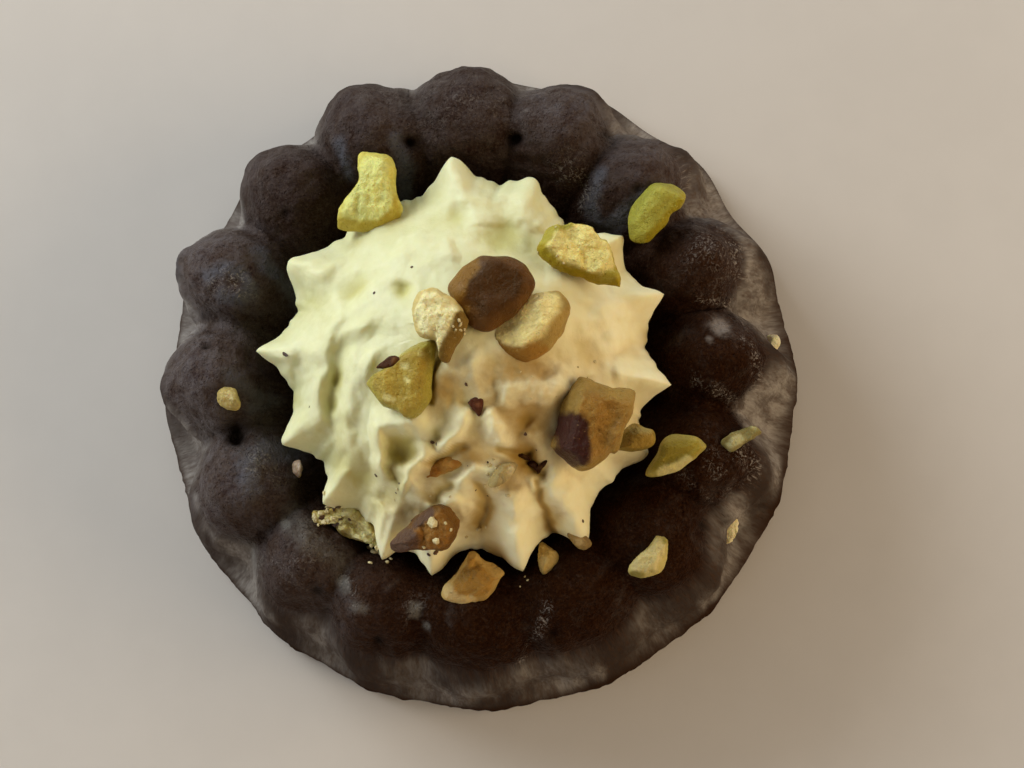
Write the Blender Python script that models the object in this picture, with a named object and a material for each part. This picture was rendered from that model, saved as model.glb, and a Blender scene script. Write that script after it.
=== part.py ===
"""A mini chocolate bundt cake with a piped cream rosette and chopped pistachios, as a Blender script.

Metres, +Z up. The origin is the middle of the flat base, +X is right and +Y is away from the viewer.
Run it with: blender --background --python part.py
"""

import math
from typing import NamedTuple

import bmesh
import bpy
from mathutils import Euler, Matrix, Vector, noise
from mathutils.bvhtree import BVHTree

MM = 0.001
GAP = 0.3 * MM  # left between pieces that touch
SHARP_ANGLE = math.radians(50)

# Cake: a fluted round with a low foot, a flat base and a dish in the middle that the cream fills
BASE_RADIUS = 49.7 * MM
FOOT_MIDDLE = Vector((0.2, -0.45, 0)) * MM  # from the middle of the cream, and the part's origin
FOOT_HEIGHT = 2.6 * MM
FOOT_BEVEL = 0.7 * MM
FOOT_WAVE = 0.7 * MM  # how far the foot pulls in between two flutes
TIGHT_FOOT = (1 * MM, 48, 30)  # how much tighter it is, about which angle, and how widely, in degrees
DISH_RADIUS = 15 * MM
DISH_HEIGHT = 22 * MM
FLUTES = 16
COLUMNS_PER_FLUTE = 10
PROFILE_ROWS = 16
FIRST_FLUTE = 90.5  # degrees
# Where the bake pushed flutes round the cake: how far, about which angle, and how widely, in degrees
FLUTE_DRIFTS = ((6, 215, 36), (2, 315, 50))
# Radius and height in mm, from the foot over the top and down into the dish
RIDGE_PROFILE = ((49.5, 3.4), (48, 9.5), (46.8, 17.5), (45.4, 26), (42.4, 34), (38.8, 39.2),
                 (34.9, 41), (31, 39.8), (28, 36), (24.8, 30.5), (20, 25.5))
GROOVE_PROFILE = ((48.2, 3.4), (45.2, 8), (43.2, 15), (41.4, 22), (39.8, 28), (37.6, 33),
                  (34.2, 36.2), (31, 35.6), (28, 32.4), (24.8, 28.2), (20, 24.6))
BULGE_POWER = 0.75  # how round the beads at the top of the flutes are
MOST_FULL = 0.45  # how far a flute goes from a wave to a bead
UNEVEN_SIZES = ((0.9 * MM, 24 * MM), (0.4 * MM, 9 * MM))  # height and spread of the bumps of the bake
UNEVEN_SEED = 7

# Cream: angle in degrees and reach in mm of each point of the rosette, and the reach of the notch after it
CREAM_POINTS = ((93, 29, 25), (69, 28, 24), (38, 28.5, 26), (18, 29, 25.5), (-7, 29, 25.5),
                (-25, 29, 25.5), (-51, 30, 26.5), (-74, 30.5, 25.5), (-98, 30, 27), (-112, 29.5, 25),
                (-134, 28, 23.5), (-155, 28, 24), (-183, 28.5, 24.5), (-210, 29, 24.5),
                (-240, 27.5, 24))
COLUMNS_PER_POINT = 4
POINT_SHARPNESS = 1.6
CREAM_TOP = 57 * MM
CREAM_RIM = 40.6 * MM
NOTCH_DROP = 2.2 * MM
DOME_POWER = 1.6
RIDGE_RELIEF = 2.6 * MM
# The nozzle turned as it lifted: degrees that a ridge turns on its way in, evenly and more about one side
SWIRL_EVEN, SWIRL_MORE, SWIRL_SIDE = -18, -30, 205
SWIRL_OUTER, SWIRL_INNER = 0.72, 0.3  # shares of the reach between which it turns
CREAM_TOP_ROWS = 15
CREAM_SEAT_RADII = tuple(radius * MM for radius in (28.5, 26.5, 24, 21, 18, 15))
CREAM_SEAT_EXTRA = 0.3 * MM

# Finishes: base colour and roughness
COLOURS = {
    "glazed_chocolate": ((0.018, 0.010, 0.008), 0.25),
    "whipped_cream": ((0.82, 0.77, 0.55), 0.55),
    "pale_kernel": ((0.60, 0.52, 0.20), 0.6),
    "green_kernel": ((0.24, 0.23, 0.05), 0.55),
    "cut_kernel": ((0.62, 0.47, 0.22), 0.65),
    "brown_skin": ((0.09, 0.04, 0.02), 0.5),
    "purple_skin": ((0.07, 0.03, 0.04), 0.5),
    "amber_kernel": ((0.22, 0.10, 0.03), 0.4),
}


class Nut(NamedTuple):
    """A broken piece of kernel, drawn in plan and laid on what is below it."""

    name: str
    colour: str
    place: tuple  # x and y of its middle, mm
    outline: tuple  # its edge in plan round its middle, anticlockwise, mm
    thickness: float  # mm
    crown: float  # 1 for a rounded top and 0 for a flat broken one
    lean: tuple  # how far its +X side and its +Y side are raised, degrees
    lift: float  # its widest level above what lies under its middle, mm


OVAL_POINTS = 6


def oval(length, width, angle):
    """The outline of a small piece, its length turned by an angle in degrees."""
    turn = Matrix.Rotation(math.radians(angle), 2)
    corners = [math.radians(360 * i / OVAL_POINTS) for i in range(OVAL_POINTS)]
    return tuple(tuple(turn @ Vector((length / 2 * math.cos(a), width / 2 * math.sin(a)))) for a in corners)


# From the top down: each piece is cut clear of those before it
NUTS = (
    Nut("pistachio_brown_round", "brown_skin", (5, 7),
        ((-3.5, 3), (-5, 1.5), (-5.5, 0), (-5, -2), (-3.5, -2.5), (-2.5, -5), (-1, -5.5), (0.5, -4.5),
         (2.5, -3), (4, -2), (5.5, 0.5), (5, 2.5), (3.5, 4), (1.5, 4.5), (-2.5, 4)),
        thickness=4.8, crown=0.75, lean=(-6, -8), lift=2.5),
    Nut("pistachio_egg_half", "cut_kernel", (16, 13),
        ((-4.5, -1), (-3, -2.5), (0.5, -3.5), (4.5, -4.5), (5.5, -4), (4.5, 0.5), (3, 2), (2, 3.5), (0.5, 4),
         (-2, 4), (-4, 3.5), (-5, 2), (-5.5, 0)),
        thickness=4.6, crown=0, lean=(-13, -12), lift=1.8),
    Nut("pistachio_half_moon", "cut_kernel", (10, 2.5),
        ((-5.5, -2.5), (-4, -4), (-2, -4.5), (0, -4.5), (2, -3), (3.5, -1), (4.5, 1), (5, 3), (4, 4.5),
         (2, 5), (0, 4.5), (-1, 2.5), (-3.5, 1), (-5.5, -0.5)),
        thickness=6.4, crown=0.1, lean=(17, -17), lift=1.6),
    Nut("pistachio_pale_chunk", "cut_kernel", (-1.5, 3),
        ((-3.5, -0.5), (-2.5, -2), (-0.5, -2.5), (0, -5), (1, -5.5), (2, -4), (3, -2), (3.5, 0), (2.5, 2),
         (1, 3), (-0.5, 4), (-2, 4), (-3.5, 3)),
        thickness=5, crown=0.6, lean=(4, 0), lift=1.6),
    Nut("pistachio_green_fold", "green_kernel", (-6, -4.5),
        ((-5, -1.5), (-3.5, -3), (-1, -4), (0, -5), (1.5, -4.5), (3, -2.5), (3.5, 1), (4, 3), (4, 5),
         (2.5, 5), (0.5, 4.5), (-1, 3), (-3, 1.5), (-4.5, 1), (-5.5, -0.5)),
        thickness=4.6, crown=0.3, lean=(9, 6), lift=1.5),
    Nut("pistachio_purple_chunk", "purple_skin", (17.5, -9.5),
        ((-2, 5.5), (-3.5, 3), (-4.5, -1), (-5, -4), (-3.5, -5), (-2, -6.5), (1, -5.5), (2.5, -4),
         (3.5, -3.5), (5, 0.5), (5.5, 2.5), (5.5, 4.5), (3, 4.5), (0.5, 5.5), (-1.5, 6)),
        thickness=6.6, crown=0.15, lean=(-17, 8), lift=2.2),
    Nut("pistachio_olive_bit", "green_kernel", (24, -11),
        ((-1, -2), (1, -1.5), (2, -0.5), (2, 1), (1, 1.5), (-0.5, 2), (-1.5, 1.5), (-3, -1.5)),
        thickness=3.2, crown=0.5, lean=(-12, 6), lift=1),
    Nut("pistachio_wedge", "pale_kernel", (-12, 22.5),
        ((-2, 4), (-2.5, 1), (-4, -1), (-5, -4), (-4, -5), (0.5, -5), (2.5, -4.5), (4, -2), (3.5, -0.5),
         (3, 2), (3, 4), (1.5, 6), (-1.5, 6)),
        thickness=5.4, crown=0.45, lean=(0, -3), lift=1.8),
    Nut("pistachio_leaf", "green_kernel", (26.5, 20.5),
        ((-3.5, -2), (-3, -4), (-1.5, -4.5), (0, -3.5), (1.5, -2), (2.5, -0.5), (4, 1), (4.5, 3), (2, 4),
         (-0.5, 3.5), (-2, 2), (-3.5, 0)),
        thickness=4.6, crown=0.8, lean=(-12, 8), lift=2.6),
    Nut("pistachio_green_side", "green_kernel", (29, -13),
        ((-3.5, -3), (-2, -3), (-0.5, -2.5), (1.5, -1.5), (3, 0), (4, 1), (3.5, 2), (1.5, 2.5), (-0.5, 2.5),
         (-2, 1.5), (-3, -0.5), (-4, -2.5)),
        thickness=4.2, crown=0.5, lean=(-4, 4), lift=1.5),
    Nut("pistachio_pale_drop", "pale_kernel", (25.5, -26.5),
        ((-2, -3), (0, -3), (2, -1.5), (2.5, 1), (1.5, 3), (0, 1.5), (-1.5, 0), (-3, -1.5), (-3, -2.5)),
        thickness=4.2, crown=0.7, lean=(2, 4), lift=1.2),
    Nut("pistachio_tan_chunk", "amber_kernel", (1.5, -30),
        ((-2.5, 1), (-4, -1.5), (-3.5, -2.5), (-1.5, -3.5), (0, -3), (2.5, -2), (3.5, 0), (4, 1), (1.5, 3),
         (0, 4)),
        thickness=4.6, crown=0.4, lean=(0, 8), lift=1.4),
    Nut("pistachio_amber_chunk", "amber_kernel", (-4, -23.5),
        ((-4.5, -2.5), (-2, -2.5), (1, -2.5), (3, -2), (4, 0), (4, 1.5), (2.5, 3.5), (1, 3.5), (-1, 2.5),
         (-3, 0.5), (-5, -1.5)),
        thickness=5.2, crown=0.2, lean=(4, 12), lift=1.9),
    Nut("pistachio_skin_cluster", "green_kernel", (-15.5, -22),
        ((-5, 0), (-3, 0), (-1.5, -1.5), (0, -2), (2, -3), (4, -3.5), (4.5, -2), (2.5, 1), (1, 2.5),
         (-0.5, 3), (-4, 1.5), (-5.5, 1.5)),
        thickness=3.2, crown=0.5, lean=(3, 4), lift=4.4),
)
LEVEL = (0, 0)
CAKE_BITS = (
    Nut("sliver", "pale_kernel", (38, -10.5),
        ((-2, -2.5), (0, -1.5), (1.5, -0.5), (3, 1), (2.5, 2), (1, 1.5), (-1, 0.5), (-3, -1)),
        thickness=2.6, crown=0.3, lean=LEVEL, lift=0.4),
    Nut("tan_bit", "cut_kernel", (11.5, -27),
        ((-1, 0.5), (-1, -1.5), (0, -2.5), (1.5, 0), (0.5, 1.5), (-1, 2.5)),
        thickness=3, crown=0.3, lean=LEVEL, lift=0.5),
    Nut("side_bit", "pale_kernel", (38, -23), oval(3.6, 2.3, 70),
        thickness=2.4, crown=1, lean=LEVEL, lift=0.4),
    Nut("round_bit", "pale_kernel", (-32, -5), oval(3.6, 3.3, 0),
        thickness=2.6, crown=1, lean=LEVEL, lift=0.4),
    Nut("pink_bit", "cut_kernel", (-23.5, -14.5), oval(2.6, 1.6, 80),
        thickness=1.8, crown=1, lean=LEVEL, lift=0.3),
    Nut("low_bit", "pale_kernel", (45, 6), oval(2.8, 2.2, 60),
        thickness=2.2, crown=1, lean=LEVEL, lift=0.3),
)
CREAM_BITS = (
    Nut("tan_crumb", "cut_kernel", (6, -16),
        ((-1, -2), (1, -0.5), (2.5, 1), (1, 1.5), (-1, 0.5), (-2, -1.5)),
        thickness=3.2, crown=0.4, lean=LEVEL, lift=0.7),
)
BIT_POINTS = 8  # pieces whose outline has no more points than this have fewer levels
# Height as a share of the thickness, and the share of the outline there, with a flat top and with a round one
CHUNK_LEVELS = ((-0.5, 0.4, 0.4), (-0.34, 0.78, 0.78), (-0.05, 1, 1), (0.22, 0.97, 0.9), (0.42, 0.9, 0.62),
                (0.5, 0.78, 0.3))
BIT_LEVELS = ((-0.5, 0.5, 0.5), (0, 1, 1), (0.5, 0.75, 0.45))
DENT_DEPTH, DENT_SPREAD = 0.3 * MM, 2.6 * MM


def clear_scene():
    for item in list(bpy.data.objects):
        bpy.data.objects.remove(item, do_unlink=True)


def material(name):
    """The finish of this name, made the first time that it is asked for."""
    if name in bpy.data.materials:
        return bpy.data.materials[name]
    made = bpy.data.materials.new(name)
    made.use_nodes = True
    shader = made.node_tree.nodes["Principled BSDF"]
    colour, roughness = COLOURS[name]
    shader.inputs["Base Color"].default_value = (*colour, 1)
    shader.inputs["Roughness"].default_value = roughness
    shader.inputs["Metallic"].default_value = 0
    return made


def face_out(shape):
    """Turns the faces of a closed shape so that they all point out."""
    bmesh.ops.recalc_face_normals(shape, faces=shape.faces)
    if shape.calc_volume(signed=True) < 0:
        bmesh.ops.reverse_faces(shape, faces=shape.faces)
    shape.normal_update()


def add_object(name, shape, finish):
    """A smooth-shaded object from a bmesh, which this frees."""
    face_out(shape)
    mesh = bpy.data.meshes.new(name)
    shape.to_mesh(mesh)
    shape.free()
    mesh.shade_smooth()
    mesh.set_sharp_from_angle(angle=SHARP_ANGLE)
    mesh.materials.append(material(finish))
    made = bpy.data.objects.new(name, mesh)
    bpy.context.scene.collection.objects.link(made)
    return made


def smooth_curve(knots, count):
    """Points along a Catmull-Rom curve through knots of radius and height in mm, as metres."""
    ends = (knots[0], *knots, knots[-1])
    points = []
    for step in range(count):
        along = step / (count - 1) * (len(knots) - 1)
        first = min(int(along), len(knots) - 2)
        t = along - first
        a, b, c, d = (Vector(knot) for knot in ends[first:first + 4])
        point = 2 * b + (c - a) * t + (2 * a - 5 * b + 4 * c - d) * t**2 + (3 * b - a - 3 * c + d) * t**3
        points.append(point / 2 * MM)
    return points


def fade(value):
    """0 below 0, 1 above 1, and smooth between."""
    value = min(max(value, 0), 1)
    return value * value * (3 - 2 * value)


def on_circle(radius, angle, height):
    return Vector((radius * math.cos(angle), radius * math.sin(angle), height))


def skin(rings):
    """A closed shape from rings of points, the first and last filled flat."""
    shape = bmesh.new()
    made = [[shape.verts.new(point) for point in ring] for ring in rings]
    count = len(rings[0])
    for lower, upper in zip(made, made[1:]):
        for i in range(count):
            j = (i + 1) % count
            shape.faces.new((lower[i], lower[j], upper[j], upper[i]))
    shape.faces.new(reversed(made[0]))
    shape.faces.new(made[-1])
    return shape


def hump(degrees, most, middle, spread):
    """The most at one angle, fading to nothing either side of it."""
    apart = (degrees - middle + 180) % 360 - 180
    return most * math.exp(-((apart / spread) ** 2))


def flute_angle(turns):
    """The angle of a place that many flutes round, with the drift of the bake, in radians."""
    degrees = FIRST_FLUTE + turns * 360 / FLUTES
    for drift in FLUTE_DRIFTS:
        degrees += hump(degrees, *drift)
    return math.radians(degrees)


def lobe(across, fullness):
    """1 on the ridge of a flute and 0 in the grooves at -1 and 1, a wave or, at full, a round bead."""
    wave = 0.5 + 0.5 * math.cos(math.pi * across)
    bead = max(1 - across * across, 0) ** BULGE_POWER
    return wave + (bead - wave) * fullness


def unevenness(point, steady):
    """How far the bake moved a point, less where it is held steady."""
    moved = Vector()
    for height, spread in UNEVEN_SIZES:
        moved += noise.noise_vector(point / spread) * height
    return moved * (1 - steady)


def cake_rings():
    """Rings of points from the base out, up the flutes, over the top and down to the dish."""
    ridge = smooth_curve(RIDGE_PROFILE, PROFILE_ROWS)
    groove = smooth_curve(GROOVE_PROFILE, PROFILE_ROWS)
    columns = FLUTES * COLUMNS_PER_FLUTE
    turns = [column / COLUMNS_PER_FLUTE - 0.5 for column in range(columns)]
    angles = [flute_angle(turn) for turn in turns]
    waves = [FOOT_WAVE * (1 - lobe(2 * ((turn + 0.5) % 1) - 1, 0)) + hump(math.degrees(angle), *TIGHT_FOOT)
             for turn, angle in zip(turns, angles)]
    foot = ((BASE_RADIUS - FOOT_BEVEL, 0), (BASE_RADIUS, FOOT_BEVEL), (BASE_RADIUS, FOOT_HEIGHT))
    rings = [[on_circle(radius - wave, angle, height) + FOOT_MIDDLE for wave, angle in zip(waves, angles)]
             for radius, height in foot]
    for row in range(PROFILE_ROWS):
        share = row / (PROFILE_ROWS - 1)
        fullness = MOST_FULL * fade((share - 0.15) / 0.3)
        steady = max(fade(1 - share / 0.15), fade((share - 0.85) / 0.15))
        ring = []
        for turn, angle in zip(turns, angles):
            across = 2 * ((turn + 0.5) % 1) - 1
            radius, height = groove[row].lerp(ridge[row], lobe(across, fullness))
            point = on_circle(radius, angle, height)
            ring.append(point + unevenness(point, steady))
        rings.append(ring)
    rings.append([on_circle(DISH_RADIUS, angle, DISH_HEIGHT) for angle in angles])
    return rings


def seat_height(rings, radius):
    """The highest that the inner slope of the cake stands at this radius."""
    highest = 0
    for column in zip(*rings):
        for outer, inner in zip(column[len(column) // 2:], column[len(column) // 2 + 1:]):
            far, near = outer.xy.length, inner.xy.length
            if near <= radius <= far and far > near:
                highest = max(highest, inner.z + (outer.z - inner.z) * (radius - near) / (far - near))
    return highest


def make_cake():
    rings = cake_rings()
    return add_object("cake", skin(rings), "glazed_chocolate"), rings


def cream_columns():
    """For each column of the rosette: its angle at the rim, its reach, and 1 on a point to 0 in a notch."""
    columns = []
    for here, after in zip(CREAM_POINTS, CREAM_POINTS[1:] + CREAM_POINTS[:1]):
        angle, reach, notch = here
        turn = (after[0] - angle) % -360
        for step in range(COLUMNS_PER_POINT):
            across = step / COLUMNS_PER_POINT
            ridge = abs(2 * across - 1) ** POINT_SHARPNESS
            tip = reach if across < 0.5 else after[1]
            columns.append((angle + turn * across, (notch + (tip - notch) * ridge) * MM, ridge))
    return columns


def swirl(angle, share):
    """Degrees that a ridge has turned at this share of the reach."""
    most = SWIRL_EVEN + SWIRL_MORE * math.cos(math.radians(angle - SWIRL_SIDE))
    return most * fade((SWIRL_OUTER - share) / (SWIRL_OUTER - SWIRL_INNER))


def cream_height(share, ridge):
    """Height of the top of the rosette, which falls from its middle to its rim in ridges."""
    rim = CREAM_RIM - NOTCH_DROP * (1 - ridge)
    dome = rim + (CREAM_TOP - rim) * (1 - share**DOME_POWER)
    return dome + RIDGE_RELIEF * (ridge - 0.4) * fade(share / 0.45) * fade((1 - share) / 0.3)


def make_cream(cake):
    """The rosette, from under its middle out over the cake's inner slope, to its rim and up the dome."""
    columns = cream_columns()
    rings = []
    for radius in reversed(CREAM_SEAT_RADII):
        height = max(seat_height(cake, radius), DISH_HEIGHT) + GAP + CREAM_SEAT_EXTRA
        ring = []
        for angle, reach, ridge in columns:
            inside = min(radius - GAP, reach - 0.6 * MM)
            ring.append(on_circle(inside, math.radians(angle), height))
        rings.append(ring)
    for row in range(CREAM_TOP_ROWS):
        share = 1 - row / CREAM_TOP_ROWS
        ring = []
        for angle, reach, ridge in columns:
            turned = math.radians(angle + swirl(angle, share))
            ring.append(on_circle(reach * share, turned, cream_height(share, ridge)))
        rings.append(ring)
    return add_object("cream", skin(rings), "whipped_cream")


def kernel(nut):
    """The shape of a nut piece about its own middle: its outline, drawn in below and above, with dents."""
    rings = []
    for height, flat, rounded in BIT_LEVELS if len(nut.outline) <= BIT_POINTS else CHUNK_LEVELS:
        share = flat + (rounded - flat) * nut.crown
        ring = []
        for x, y in nut.outline:
            point = Vector((x * share, y * share, height * nut.thickness)) * MM
            dent = noise.noise_vector(point / DENT_SPREAD + Vector((*nut.place, 0))) * DENT_DEPTH
            ring.append(point + dent)
        rings.append(ring)
    shape = skin(rings)
    face_out(shape)
    return shape


def placed(shape, nut, grounds):
    """Leans a nut piece and sets its middle at its lift above the highest ground below it."""
    over = Vector((nut.place[0] * MM, nut.place[1] * MM, 1))
    hits = [ground.ray_cast(over, Vector((0, 0, -1)))[0] for ground in grounds]
    height = max(hit.z for hit in hits if hit)
    across, away = (math.radians(angle) for angle in nut.lean)
    turn = Euler((away, -across, 0)).to_matrix().to_4x4()
    shape.transform(Matrix.Translation((over.x, over.y, height + nut.lift * MM)) @ turn)
    return shape


def swollen(shape):
    """A copy of a shape that stands the gap proud of it all over."""
    copy = shape.copy()
    face_out(copy)
    moves = [vertex.normal * vertex.calc_shell_factor() * GAP for vertex in copy.verts]
    for vertex, move in zip(copy.verts, moves):
        vertex.co += move
    return copy


def ground_of(item):
    graph = bpy.context.evaluated_depsgraph_get()
    return BVHTree.FromObject(item, graph)


def apply_boolean(target, shapes, operation):
    """Cuts these shapes from the target, or joins them to it, and removes them."""
    helpers = bpy.data.collections.new("helpers")
    bpy.context.scene.collection.children.link(helpers)
    for shape in shapes:
        helper = add_object("helper", shape, "cut_kernel")
        bpy.context.scene.collection.objects.unlink(helper)
        helpers.objects.link(helper)
    boolean = target.modifiers.new("boolean", "BOOLEAN")
    boolean.operation = operation
    boolean.operand_type = "COLLECTION"
    boolean.collection = helpers
    boolean.solver = "MANIFOLD"
    graph = bpy.context.evaluated_depsgraph_get()
    result = bpy.data.meshes.new_from_object(target.evaluated_get(graph))
    target.modifiers.clear()
    old = target.data
    target.data = result
    result.name = target.name
    bpy.data.meshes.remove(old)
    for helper in list(helpers.objects):
        bpy.data.objects.remove(helper, do_unlink=True)
    bpy.data.collections.remove(helpers)
    drop_scraps(target)


def drop_scraps(item):
    """Removes every loose scrap that cutting left, and keeps the main body."""
    shape = bmesh.new()
    shape.from_mesh(item.data)
    waiting = set(shape.faces)
    bodies = []
    while waiting:
        body, reached = [], [waiting.pop()]
        while reached:
            face = reached.pop()
            body.append(face)
            near = {other for edge in face.edges for other in edge.link_faces} & waiting
            waiting -= near
            reached.extend(near)
        bodies.append(body)
    bodies.sort(key=len)
    scraps = [face for body in bodies[:-1] for face in body]
    bmesh.ops.delete(shape, geom=scraps, context="FACES")
    shape.to_mesh(item.data)
    shape.free()


def meet(one, other):
    return bool(BVHTree.FromBMesh(one).overlap(BVHTree.FromBMesh(other)))


def main():
    clear_scene()
    noise.seed_set(UNEVEN_SEED)
    cake, rings = make_cake()
    cream = make_cream(rings)
    grounds = [ground_of(cake), ground_of(cream)]
    kernels = [placed(kernel(nut), nut, grounds) for nut in NUTS]
    cake_bits = [placed(kernel(bit), bit, grounds[:1]) for bit in CAKE_BITS]
    cream_bits = [placed(kernel(bit), bit, grounds[1:]) for bit in CREAM_BITS]
    apply_boolean(cake, [shape.copy() for shape in cake_bits], "UNION")
    apply_boolean(cream, cream_bits, "UNION")
    apply_boolean(cake, [swollen(shape) for shape in kernels], "DIFFERENCE")
    apply_boolean(cream, [swollen(shape) for shape in kernels + cake_bits], "DIFFERENCE")
    for i, nut in enumerate(NUTS):
        piece = add_object(nut.name, kernels[i].copy(), nut.colour)
        above = [shape for shape in map(swollen, kernels[:i]) if meet(shape, kernels[i])]
        if above:
            apply_boolean(piece, above, "DIFFERENCE")
    for item in bpy.data.objects:
        item.data.transform(Matrix.Translation(-FOOT_MIDDLE))


main()
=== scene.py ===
"""A mini chocolate bundt cake with a piped cream rosette and chopped pistachios, dressed for rendering.

Metres, +Z up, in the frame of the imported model. It is laid out as an add-on and run as a script.
"""

import math
import random
from typing import NamedTuple

import bmesh
import bpy
import numpy as np
from bpy.props import FloatProperty, FloatVectorProperty, PointerProperty
from mathutils import Euler, Matrix, Vector, noise
from mathutils.bvhtree import BVHTree


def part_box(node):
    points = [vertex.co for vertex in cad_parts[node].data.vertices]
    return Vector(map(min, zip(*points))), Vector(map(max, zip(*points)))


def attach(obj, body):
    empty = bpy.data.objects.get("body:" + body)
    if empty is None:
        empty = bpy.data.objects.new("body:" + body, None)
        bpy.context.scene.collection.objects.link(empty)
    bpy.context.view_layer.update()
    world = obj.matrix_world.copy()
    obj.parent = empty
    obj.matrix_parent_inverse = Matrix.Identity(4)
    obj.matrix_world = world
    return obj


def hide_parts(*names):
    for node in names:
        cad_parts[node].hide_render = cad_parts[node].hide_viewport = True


bl_info = {
    "name": "Mini bundt cake",
    "version": (1, 0, 0),
    "blender": (4, 5, 0),
    "location": "3D View > Sidebar > Cake",
    "description": "Glazes the bundt cake, pipes its cream and lays its pistachio pieces",
    "category": "Add Mesh",
}

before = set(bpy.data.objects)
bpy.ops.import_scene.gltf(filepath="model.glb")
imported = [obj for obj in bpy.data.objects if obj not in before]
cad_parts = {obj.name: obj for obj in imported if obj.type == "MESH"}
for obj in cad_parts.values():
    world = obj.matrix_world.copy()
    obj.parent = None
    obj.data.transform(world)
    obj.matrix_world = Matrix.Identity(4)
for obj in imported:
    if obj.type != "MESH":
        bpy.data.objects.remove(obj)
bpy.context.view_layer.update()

MM = 0.001
SEED = 7  # of the bumps of the bake, as in the part's source
ROOT = "root"

# Cake: the profiles and drifts of the part's source, in mm and degrees
MIDDLE = np.array((-0.2, 0.45, 0))  # of the flutes and the cream, mm
BASE_RADIUS, FOOT_HEIGHT, FOOT_BEVEL, FOOT_WAVE = 49.66, 2.6, 0.7, 0.7
TIGHT_FOOT = (1, 48, 30)
# How far the edge of the foot is eaten in, and over what length, mm
FOOT_RAGS = ((0.7, 6), (0.4, 2), (0.1, 0.9))
DISH_RADIUS, DISH_HEIGHT = 15, 22
FLUTES, FIRST_FLUTE = 16, 90.5
FLUTE_DRIFTS = ((6, 215, 36), (2, 315, 50))
RIDGE_PROFILE = ((49.48, 3.4), (48, 9.5), (46.8, 17.5), (45.4, 26), (42.4, 34), (38.8, 39.2),
                 (34.9, 41), (31, 39.8), (28, 36), (24.8, 30.5), (20, 25.5))
GROOVE_PROFILE = ((48.2, 3.4), (45.2, 8), (43.2, 15), (41.4, 22), (39.8, 28), (37.6, 33),
                  (34.2, 36.2), (31, 35.6), (28, 32.4), (24.8, 28.2), (20, 24.6))
BULGE_POWER, MOST_FULL = 0.75, 0.8
# How deep the groove after each flute is, anticlockwise from the first one, as a share of the profile's
GROOVE_DEPTHS = (0.65, 1, 1.15, 1.2, 1.15, 0.95, 0.6, 0.4, 0.4, 0.45, 0.7, 1.05, 1.25, 1.25, 0.9, 0.6)
GROOVE_SOFTNESS = 1.6  # columns that the bottom of a groove is rounded over
UNEVEN_SIZES = ((0.9, 24), (0.4, 9))
CAKE_COLUMNS, CAKE_ROWS = 608, 136
# Outside this reach and below this height, mm, patterns are squeezed to a share and so run down the sides
WALL_REACH, WALL_TOP, WALL_RUN = 39.5, 34, 0.12
# Bumps that the part's source leaves out: height and spread in mm, and the shift of the noise
GLAZE_BUMPS = ((0.6, 8, 0), (0.42, 3.4, 11), (0.26, 1.5, 22), (0.1, 0.8, 33))
# Painted sheen on the walls, standing in for reflections of the floor and the lights: how much all round,
# and more so where the lights fall: how much, at which angle, and over how many degrees
SHEEN_ALL_ROUND = 0.26
SHEEN_SIDES = ((0.3, 150, 50), (0.25, -165, 30), (0.48, 22, 45), (0.2, -100, 50), (0.25, 85, 30))
# how much more of the painted sheen in the grooves, on the ridges, and along the streaks
SHEEN_IN_GROOVE, SHEEN_ON_RIDGE, SHEEN_STREAKS_GAIN = 1.3, 0.2, 1.25
# Where the glaze's patterns begin and where they are full: heights in mm, and for the last one a reach
BUMPS_RISE, CREST_RISE, BLOOM_AND_SHEEN_RISE, CHALK_AND_GLINT_RISE = (3, 7), (26, 38), (8, 18), (28, 34)
SIDE_RISE, SIDE_REACH = (36, 30), (36, 40)
CHALK_AND_GLINT_EVERYWHERE = 0.04
# The foot, painted darker and redder as shade low on the sides: how high it is, how far it fades above that,
# and how much further at one angle
FOOT_SHADE_HEIGHT, FOOT_SHADE_FADE, FOOT_SHADE_MORE = 2.2, 2.4, (5, -35, 45)

# Cream: angle in degrees, reach and the notch after it in mm, and how blunt the tip is from 0 to 1
CREAM_POINTS = ((93, 29.3, 25.4, 0.7), (69, 28, 24, 0.9), (38, 28.5, 26, 0.5), (18, 29.2, 25.5, 0.3),
                (-7, 29.2, 25.5, 0.3), (-27, 29.4, 25.7, 1), (-56, 31, 26.6, 0.8), (-74, 31, 25.5, 0.7),
                (-98, 30.4, 27, 0.7), (-112, 29.8, 25, 0.7), (-134, 28, 23.5, 0.8), (-155, 28, 24, 0.8),
                (-183, 28.8, 24.5, 0.4), (-210, 29, 24.5, 0.9), (-240, 27.5, 24, 1))
POINT_SHARPNESS = 2.3
CREAM_TOP, CREAM_RIM, NOTCH_DROP, DOME_POWER, RIDGE_RELIEF = 57, 40.6, 2.2, 1.6, 0.35
STAR_FADE = 0.68  # share of the reach inside which the points no longer show
SWIRL_EVEN, SWIRL_MORE, SWIRL_SIDE = -18, -30, 205
SWIRL_OUTER, SWIRL_INNER = 0.72, 0.3
CREAM_SEAT_RADII = (28.5, 26.5, 24, 21, 18, 15)
COLUMNS_PER_POINT, CREAM_ROWS = 38, 110
LIP = 1.1  # radius of the rounded rim, mm
LIP_DROP = 0.6 * LIP
SEAT_GAP, RIM_GAP, SEAT_LIFT = 0.3, 1.2, 0.6  # how far the underside keeps in from its seat and rim, mm
TIP_BLUR, MIDDLE_BLUR = 4.5, 0.8 * COLUMNS_PER_POINT  # columns
EDGE_RADIUS = 27  # at which the noise of the edge is read, mm
EDGE_BUMPS = ((0.55, 3.2, 4), (0.45, 1.2, 8))
FOLD_BUMPS = ((0.6, 6, 3), (0.28, 2.4, 9))
FOLD_RADII = (31, 26)  # the folds fade out between these, mm
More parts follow.
